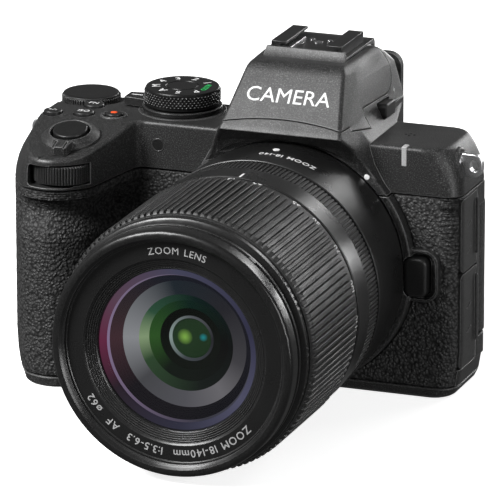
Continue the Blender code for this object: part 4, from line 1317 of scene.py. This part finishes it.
def make_shutter(metal_black, paint):
    frame = stand(SHUTTER, GRIP_NORMAL)
    cap = [(3.4, -2.8), (3.4, 0.4), (4.7, 0.4)] + soft_rim(4.85, 3.2, 0.5, (0.0, 0.35, 0.7, 1.05, 1.3, 1.57))
    cap += [(3.4, 3.22), (1.8, 3.16), (0.3, 3.13)]
    button = turned("shutter_cap", cap, frame, metal_black)
    place(button, "shutter_button", "dark_metal", "shutter_button")
    profile = [
        (5.6, 0.4), (8.1, 0.4), (8.2, 0.5), (8.2, 0.9), (8.05, 1.15), (6.1, 2.55), (5.85, 2.6), (5.6, 2.4),
    ]
    lever = turned("power_ring", profile, frame, paint, True)
    tab_frame = frame @ Matrix.Rotation(math.radians(4), 4, "Z")
    outline = [(-2.9, -6.9), (-2.2, -10.6), (-1.5, -11.1), (1.5, -11.1), (2.2, -10.6), (2.9, -6.9)]
    tab = slab("tab", outline, tab_frame, 0.55, 3.2, None, 0.3)
    for x in (-1.55, 1.55):
        groove = [(x - 0.28, -12), (x + 0.28, -12), (x + 0.28, -7.6), (x - 0.28, -7.6)]
        cut(tab, slab("groove", groove, tab_frame, 2.75, 5))
    fuse(lever, tab)
    place(lever, "power_lever", "body_paint", "power_lever")


def make_top_buttons(plastic, paint, white, red):
    marks = {"exposure_button": "+/-", "iso_button": "ISO", "picture_button": "FN"}
    for name, (x, y, radius) in TOP_BUTTONS.items():
        cap = [(radius + 0.4, -4.2), (radius + 0.4, -3.2), (radius, -3.2)]
        cap += soft_rim(radius, 0.85, 0.45, (0.0, 0.35, 0.7, 1.1, 1.57)) + [(radius * 0.5, 0.88), (0.2, 0.9)]
        key(name + "_cap", cap, top_view(x, y), plastic, name)
        if name in marks:
            spot = top_view(x, y - 0.85, TOP_Z + 0.93)
            place(label(name + "_mark", marks[name], 2.4, spot, white, 0.0), name, "button_plastic")
    x, y, radius = TOP_BUTTONS["record_button"]
    profile = [(0.95, 0.8), (0.95, 0.95), (0.6, 1.05), (0.1, 1.08)]
    dot = turned("record_dot", profile, top_view(x, y), red, count=32)
    place(dot, "record_button", "button_plastic")
    rim = [(2.75, -0.5), (3.95, -0.5), (3.95, 0.05), (3.75, 0.3), (3.5, 0.38), (2.95, 0.1), (2.75, 0.0)]
    place(turned("record_rim", rim, top_view(x, y), paint, True, 96), "body", "body_paint")


def make_flash_button(plastic, ink):
    front, rear, low, high = FLASH_BUTTON
    frame = stand((0, (front + rear) / 2, (low + high) / 2), (1, 0, 0), (0, 1, 0))
    outline = panel(rear - front, high - low, 1.2, 6)
    button = slab("flash_key", outline, frame, 18.4, 21.6, plastic, 0.5)
    place(button, "flash_button", "button_plastic", "flash_button")
    bolt = [(0.1, -1.0), (0.9, 0.35), (0.25, 0.3), (0.5, 1.1), (-0.55, -0.2), (0.1, -0.1)]
    mark_frame = stand((19.9, 15.4, 79.6), (1, -0.05, 0.32), (0, 1, 0))
    place(slab("flash_mark", bolt, mark_frame, 0.0, 0.05, ink), "body", "body_paint")


def make_top_marks(lamp_face, white, grey, dark):
    """The lamp window, black discs painted as the shade in the microphone holes, the display bar and the
    sensor plane's mark.
    """
    profile = [(1.95, -0.3), (1.95, 0.05), (1.75, 0.15), (1.65, 0.02), (0.2, 0.05)]
    lamp = turned("af_lamp", profile, stand((-39.9, FRONT_Y, 65.1), (0, -1, 0)), lamp_face, count=48)
    place(lamp, "body", "coated_glass")
    low, high = (31.7, FRONT_Y - 0.12, 66.2), (33.3, FRONT_Y + 2.8, TOP_Z + 0.12)
    place(box("tally_bar", low, high, grey, 0.35), "body", "steel")
    # black discs painted as the shade inside the microphone holes
    for i, (x, y) in enumerate(((28.8, 0.4), (30.0, -0.6), (31.2, 0.4), (30.0, 1.3))):
        profile = [(0.34, -0.2), (0.34, 0.03), (0.1, 0.03)]
        hole = turned(f"mic_hole_{i}", profile, top_view(x, y), dark, count=20)
        place(hole, "body", "body_paint")
    ring = label("camera_mark", "o", 2.6, top_view(-47.6, 10.6, TOP_Z + 0.03), white)
    place(ring, "body", "body_paint")


def make_controls(looks):
    black, paint, white = looks["black_metal"], looks["body_paint"], looks["white_ink"]
    make_mode_dial(looks["knurl_painted_glint"], black, paint, white, looks["green_ink"])
    make_command_dials(looks["dial_metal"])
    make_shutter(black, paint)
    make_top_buttons(looks["button_plastic"], paint, white, looks["red_ink"])
    make_flash_button(looks["button_plastic"], looks["grey_ink"])
    make_top_marks(looks["lens_shell"], white, looks["bright_bar"], looks["hole_painted_shade"])


# ---------------------------------------------------------------- sides, back and base

NOTCH = ((37.6, 5.9, 13.7), (60, 40, 51.8))
COVER_BOXES = {"port_cover_upper": (36.0, 57.0), "port_cover_lower": (8.2, 35.4)}
RIDGES = {"port_cover_upper": (39.0, 55.0), "port_cover_lower": (14.0, 33.0)}
SLITS = {"port_cover_upper": (49.0, 41.5), "port_cover_lower": (25.5, 18.5)}
COVER_REAR_Y = 3.9
SWING_AXIS = (43.2, 11.3)
REAR_BUTTONS = {
    "ae_lock_button": (-47.5, 51.0, 3.4),
    "menu_button": (-47.5, 11.0, 3.0),
    "play_button": (-66.0, 11.0, 3.0),
}
SELECTOR = (-57.0, 27.5)
SELECTOR_R = 9.0
OK_R = 3.6
SOCKET_Y = 5.8
DOOR = (-72.8, -54.0, -29.0, 9.6)
DOOR_HINGE = (-53.4, 1.2)
LUG_Y = -3.2
# Side, where its boss stands in x, its height and how far its eye reaches out from there.
LUGS = {"strap_lug_right": (1, 42.3, 65.9, 10.25), "strap_lug_left": (-1, 73.1, 63.8, 8.05)}


def make_port_covers(rubber):
    """The two rubber flaps, each with a ridge to pull it by and two slits."""
    for name, (low, high) in COVER_BOXES.items():
        cover = body_loft(name + "_flap", 0.0, low, high, rubber)
        front = RIGHT_SEAM_Y + 0.6
        outline = rounded([
            (front, low, 1.4, 5), (COVER_REAR_Y, low, 0.8, 4), (COVER_REAR_Y, high, 0.8, 4),
            (front, high, 1.4, 5),
        ])
        cut(cover, body_loft("core", 1.6, low - 1, high + 1))
        keep(cover, slab("edge", outline, SIDE_VIEW, 46.0, 60))
        bottom, top = RIDGES[name]
        ridge = panel(1.3, top - bottom, 0.5, 4, (COVER_REAR_Y - 1.0, (bottom + top) / 2))
        fuse(cover, slab("ridge", ridge, SIDE_VIEW, SIDE_X - 1.0, SIDE_X + 0.75, None, 0.4))
        for z in SLITS[name]:
            frame = stand((SIDE_X, -2.6, z), (1, 0, 0), (0, 1, 0.35))
            cut(cover, slab("slit", panel(3.4, 0.5, 0.2, 3), frame, -0.5, 3))
        place(cover, name, "soft_rubber", name)


def make_rear_cover(paint):
    cover = body_loft("rear_body", 0.0, PLATE_TOP + GAP, SEAM_Z - GAP, paint)
    zone = [
        (44.8, RIGHT_SEAM_Y + GAP), (60, RIGHT_SEAM_Y + GAP), (60, 40), (-90, 40), (-90, LEFT_SEAM_Y + GAP),
        (-43.7, LEFT_SEAM_Y + GAP), (-43.7, -4.7), (44.8, -4.7),
    ]
    keep(cover, slab("zone", zone, Matrix(), -5, 120))
    cut(cover, body_loft("core", 2.0, 0, 90))
    post = rounded([
        (35.5, 4.5, 0.5, 2), (SIDE_X, 4.5, 0.5, 2), (SIDE_X, REAR_Y, 2.6, 8), (35.5, REAR_Y, 0.5, 2),
    ])
    fuse(cover, slab("post", shrink(post, 0.02), Matrix(), 8.0, 57.5))
    cut(cover, box("notch", *NOTCH), box("window", (41.0, -12.0, 7.9), (60, 4.2, 57.3)))
    for x, z, radius in REAR_BUTTONS.values():
        cut(cover, drill(rear_view(x, z), radius + GAP, 5, 30))
    cut(cover, drill(rear_view(*SELECTOR), SELECTOR_R + GAP, 5, 30, 96))
    place(cover, "body", "body_paint", "rear_cover")


def make_thumb_rest(rubber):
    pad = rounded([(76.0, 38.5, 4, 8), (76.0, 56.5, 3, 8), (60.0, 56.5, 3, 8), (63.5, 38.5, 4, 8)])
    low, high = REAR_Y + GAP, REAR_Y + 3.4
    rest = slab("thumb_pad", pad, rear_view(0, 0), low, high, rubber, 1.4)
    place(rest, "body", "grip_leather", "thumb_rest")


def make_rear_buttons(plastic, ink):
    marks = {"ae_lock_button": "AE", "menu_button": "MENU", "play_button": "PLAY"}
    for name, (x, z, radius) in REAR_BUTTONS.items():
        flange, top = REAR_Y - 2.6, REAR_Y + 1.0
        cap = [(radius + 0.8, flange - 1), (radius + 0.8, flange), (radius, flange)]
        cap += soft_rim(radius, top, 0.4) + [(0.4, top)]
        key(name + "_cap", cap, rear_view(x, z), plastic, name)
        frame = rear_view(x, z) @ Matrix.Translation((0, -0.5, top + 0.03))
        place(label(name + "_mark", marks[name], 1.5, frame, ink), name, "button_plastic")
    flange, top = REAR_Y - 2.6, REAR_Y + 1.4
    pad = [
        (OK_R + GAP, flange - 1), (SELECTOR_R + 0.8, flange - 1), (SELECTOR_R + 0.8, flange),
        (SELECTOR_R, flange), (SELECTOR_R, top - 0.6), (SELECTOR_R - 0.2, top - 0.2),
        (SELECTOR_R - 0.6, top), (OK_R + 1.2, top - 0.7), (OK_R + GAP, top - 0.9),
    ]
    centre = rear_view(*SELECTOR)
    ring = turned("selector_ring", pad, centre, plastic, True, 96)
    place(ring, "multi_selector", "button_plastic", "multi_selector")
    for i in range(4):
        turn = Matrix.Rotation(math.radians(90 * i), 4, "Z")
        frame = centre @ turn @ Matrix.Translation((0, 6.9, top - 0.28))
        arrow = slab(f"selector_arrow_{i}", [(-0.7, -0.45), (0.7, -0.45), (0, 0.6)], frame, 0, 0.06, ink)
        place(arrow, "multi_selector", "button_plastic")
    cap = [(OK_R, flange - 1), (OK_R, top - 0.8), (OK_R - 0.1, top - 0.6), (OK_R - 0.35, top - 0.5)]
    key("ok_cap", cap + [(0.3, top - 0.55)], centre, plastic, "ok_button")
    frame = centre @ Matrix.Translation((0, -0.7, top - 0.5))
    place(label("ok_mark", "OK", 1.9, frame, ink), "ok_button", "button_plastic")


def make_monitor(paint, hinge_metal):
    """The monitor's case, and the barrel it swings on: round, with a flat cheek on the body's side."""
    x, y = SWING_AXIS
    radius = 5.0
    start, end = math.radians(156), math.radians(450)
    outline = []
    for k in range(61):
        angle = start + (end - start) * k / 60
        outline.append((x + radius * math.cos(angle), y + radius * math.sin(angle)))
    outline += [(37.9, y + radius), (37.9, y + radius * math.sin(start))]
    barrel = slab("hinge_barrel", outline, Matrix(), 14.0, 51.5, hinge_metal, 0.3, True)
    place(barrel, "monitor", "dark_metal", "monitor_hinge")
    frame = rear_view(-0.3, 31.5)
    shell = slab("monitor_frame", panel(75.2, 51.0, 2.5), frame, REAR_Y + GAP, 18.3, paint, 0.7, True)
    cut(shell, slab("pocket", panel(70.6, 46.6, 1.6), rear_view(0, 31.5), 17.1, 30))
    place(shell, "monitor", "body_paint", "monitor_shell")


def make_strap_lugs(paint, chrome):
    for name, (side, root, height, reach) in LUGS.items():
        frame = stand((side * root, LUG_Y, height), (side, 0, 0), (0, side, 0))
        profile = [(4.9, -3.0)] + soft_rim(4.7, 3.9, 0.6) + [(3.4, 3.9), (3.3, 3.5), (0.3, 3.5)]
        place(turned(name + "_boss", profile, frame, paint, count=96), "body", "body_paint")
        profile = [(3.2, 3.6), (3.2, 4.2), (2.9, 4.5), (0.3, 4.5)]
        plate = turned(name + "_plate", profile, frame, chrome, count=64)
        upright = stand((side * root, LUG_Y, height), (0, -1, 0), (side, 0, 0))
        eye = rounded([
            (3.7, -3.4, 0.8, 4), (reach, -3.2, 2.6, 10), (reach, 3.2, 2.6, 10), (3.7, 3.4, 0.8, 4),
        ])
        loop = slab("eye", eye, upright, -1.0, 1.0, None, 0.4, True)
        cut(loop, slab("hole", panel(2.6, 3.4, 1.25, 8, (reach - 2.3, 0)), upright, -5, 5))
        fuse(plate, loop)
        place(plate, "body", "steel", name)


def make_eyecup(rubber):
    cup = slab("eyecup_pad", panel(38.0, 20.4, 4.0), rear_view(0, 77.6), 24.3, 27.5, rubber, 1.2)
    cut(cup, slab("window", panel(21.0, 11.6, 2.0), rear_view(0, 77.8), 20, 40))
    place(cup, "body", "soft_rubber", "eyecup")
    rows = [
        (1.4, -1.6, 0), (1.4, 0.3, 0), (3.7, 0.3, 0), (3.7, 0.6, 0.28), (3.7, 2.1, 0.28), (3.6, 2.6, 0),
        (0.4, 2.6, 0),
    ]
    knob = toothed("diopter_knob", rows, DIOPTER_VIEW, rubber, 28, TOOTH, False)
    place(knob, "diopter_dial", "dark_metal", "diopter_dial")


def door_outline(grow=0.0):
    left, right, front, back = DOOR
    corners = [
        (right, front, 2, 6), (right, back, 1.5, 6), (left + 3, back, 3, 6), (left + 1.2, -20, 20, 6),
        (left + 5, front, 5, 6),
    ]
    return shrink(rounded(corners), -grow)


def make_base(paint):
    levels = [(0.0, 0.9), (0.25, 0.35), (0.7, 0.0), (PLATE_TOP - 0.25, 0.0), (PLATE_TOP, 0.25)]
    plate = loft("base_tray", [plan(z, inset) for z, inset in levels], paint)
    cut(plate, slab("door", door_outline(GAP), Matrix(), -5, 10))
    cut(plate, box("hinge", (-54.5, -29.4, -5), (-51.6, 10.0, 10)))
    cut(plate, drill(top_view(0, SOCKET_Y, 0), 4.5, -5, 9, 64))
    place(plate, "body", "body_paint", "base_plate")
    hinge_x, hinge_z = DOOR_HINGE
    door = slab("battery_lid", door_outline(), Matrix(), 0.2, 2.8, paint, 0.25, True)
    fuse(door, drill(stand((hinge_x, 0, hinge_z), (0, 1, 0)), 0.95, -26.0, 7.0, 32))
    place(door, "battery_door", "body_paint", "battery_door")
    for i, (x, y) in enumerate(((41, 8), (-30, 8), (40, -7), (-38, -7), (20, 8))):
        profile = [(1.5, 0.35), (1.5, 0.05), (1.2, 0.02), (0.3, 0.02)]
        head = turned(f"base_screw_{i}", profile, top_view(x, y, 0), paint, count=32)
        place(head, "body", "dark_metal")


def make_outside(looks):
    make_port_covers(looks["soft_rubber"])
    make_rear_cover(looks["body_paint"])
    make_thumb_rest(looks["grip_leather"])
    make_rear_buttons(looks["button_plastic"], looks["grey_ink"])
    make_monitor(looks["body_paint"], looks["hinge_metal"])
    make_strap_lugs(looks["body_paint"], looks["chrome"])
    make_eyecup(looks["soft_rubber"])
    make_base(looks["body_paint"])


# ---------------------------------------------------------------- CAD nodes that keep their own shape

def dress_nodes():
    """New materials on the CAD nodes that show as they are, or through an opening."""
    steel = metal("mount_steel", (0.62, 0.62, 0.63), 0.26)
    alloy = metal("chassis_alloy", (0.30, 0.31, 0.32), 0.45, 0.4, 0.3)
    dark = speckled("inner_metal", 0.022, 0.45, 0.3, 0.01, metallic=0.5)
    glass = clear_glass("inner_glass", (0.85, 0.92, 0.90))
    screen = gloss_black("screen_glass")
    board = speckled("board_green", 0.03, 0.5, 0.6, 0.02)
    cell = speckled("cell_case", 0.16, 0.5, 0.3, 0.01)
    sensor = gloss_black("sensor_glass", 0.02)
    groups = {
        ("mount_ring", "lens_mount_plate", "tripod_bush"): steel,
        ("chassis",): alloy,
        ("shutter_unit", "port_block", "middle_barrel"): dark,
        ("zoom_group", "focus_group", "rear_element", "eyepiece_lens", "flash_lamp"): glass,
        ("monitor_glass", "finder_display"): screen,
        ("main_board",): board,
        ("battery", "memory_card"): cell,
        ("image_sensor",): sensor,
    }
    for names, surface in groups.items():
        for name in names:
            bpy.data.objects[name].material_slots[0].material = surface


# ---------------------------------------------------------------- build

def make_looks():
    return {
        # the last number of each speckled look is the grey its edges are painted, as wear and as a painted
        # highlight
        "body_paint": speckled("body_paint", 0.016, 0.42, 0.30, 0.035, 0.35, 0.11, wear_and_highlight=0.38),
        "grip_leather": leather("grip_leather"),
        "soft_rubber": speckled("soft_rubber", 0.030, 0.58, 0.5, 0.015, 0.3, 0.042, wear_and_highlight=0.30),
        "lens_shell": speckled("lens_shell", 0.010, 0.29, 0.22, 0.008, 0.2, 0.02, wear_and_highlight=0.12),
        "lens_rubber": speckled("lens_rubber", 0.018, 0.48, 0.3, 0.02, 0.15, 0.04, wear_and_highlight=0.08),
        "black_metal": speckled("black_metal", 0.016, 0.34, 0.25, 0.01, 0.2, 0.03, 0.3, wear_and_highlight=0.45),
        "dial_metal": speckled("dial_metal", 0.012, 0.42, 0.25, 0.01, 0.2, 0.02, 0.2, wear_and_highlight=0.30),
        # painted glint on the mode dial's knurl
        "knurl_painted_glint": radial_painted_glint("knurl_painted_glint", 0.013, 0.60, MODE_DIAL, MODE_DIAL_R - KNURL_DEPTH, MODE_DIAL_R),
        "hinge_metal": speckled("hinge_metal", 0.050, 0.55, 0.35, 0.05, 0.3, 0.12, wear_and_highlight=0.25),
        "button_plastic": speckled("button_plastic", 0.014, 0.42, 0.3, 0.01, 0.25, 0.02, wear_and_highlight=0.22),
        # near-black, painted as the shade inside holes
        "hole_painted_shade": gloss_black("hole_painted_shade", 0.004),
        "white_ink": painted_ink("white_ink", (0.82, 0.82, 0.82)),
        "grey_ink": painted_ink("grey_ink", (0.42, 0.42, 0.42)),
        "green_ink": painted_ink("green_ink", (0.02, 0.50, 0.12)),
        "red_ink": painted_ink("red_ink", (0.90, 0.10, 0.02)),
        "bright_bar": painted_ink("bright_bar", (0.40, 0.40, 0.40)),
        "steel": metal("steel", (0.66, 0.66, 0.67), 0.24),
        "chrome": metal("chrome", (0.92, 0.92, 0.93), 0.30),
    }


def make_body(looks):
    make_leathers(looks["grip_leather"])
    make_front_cover(looks["body_paint"], looks["white_ink"])
    make_front_buttons(looks["button_plastic"])
    make_top_cover(looks["body_paint"])
    make_flash_hood(looks["body_paint"], looks["white_ink"])
    make_shoe(looks["black_metal"], looks["steel"])


LOOKS = make_looks()
make_camera()
make_lights()
make_floor()
make_lens(LOOKS)
make_body(LOOKS)
make_controls(LOOKS)
make_outside(LOOKS)
dress_nodes()
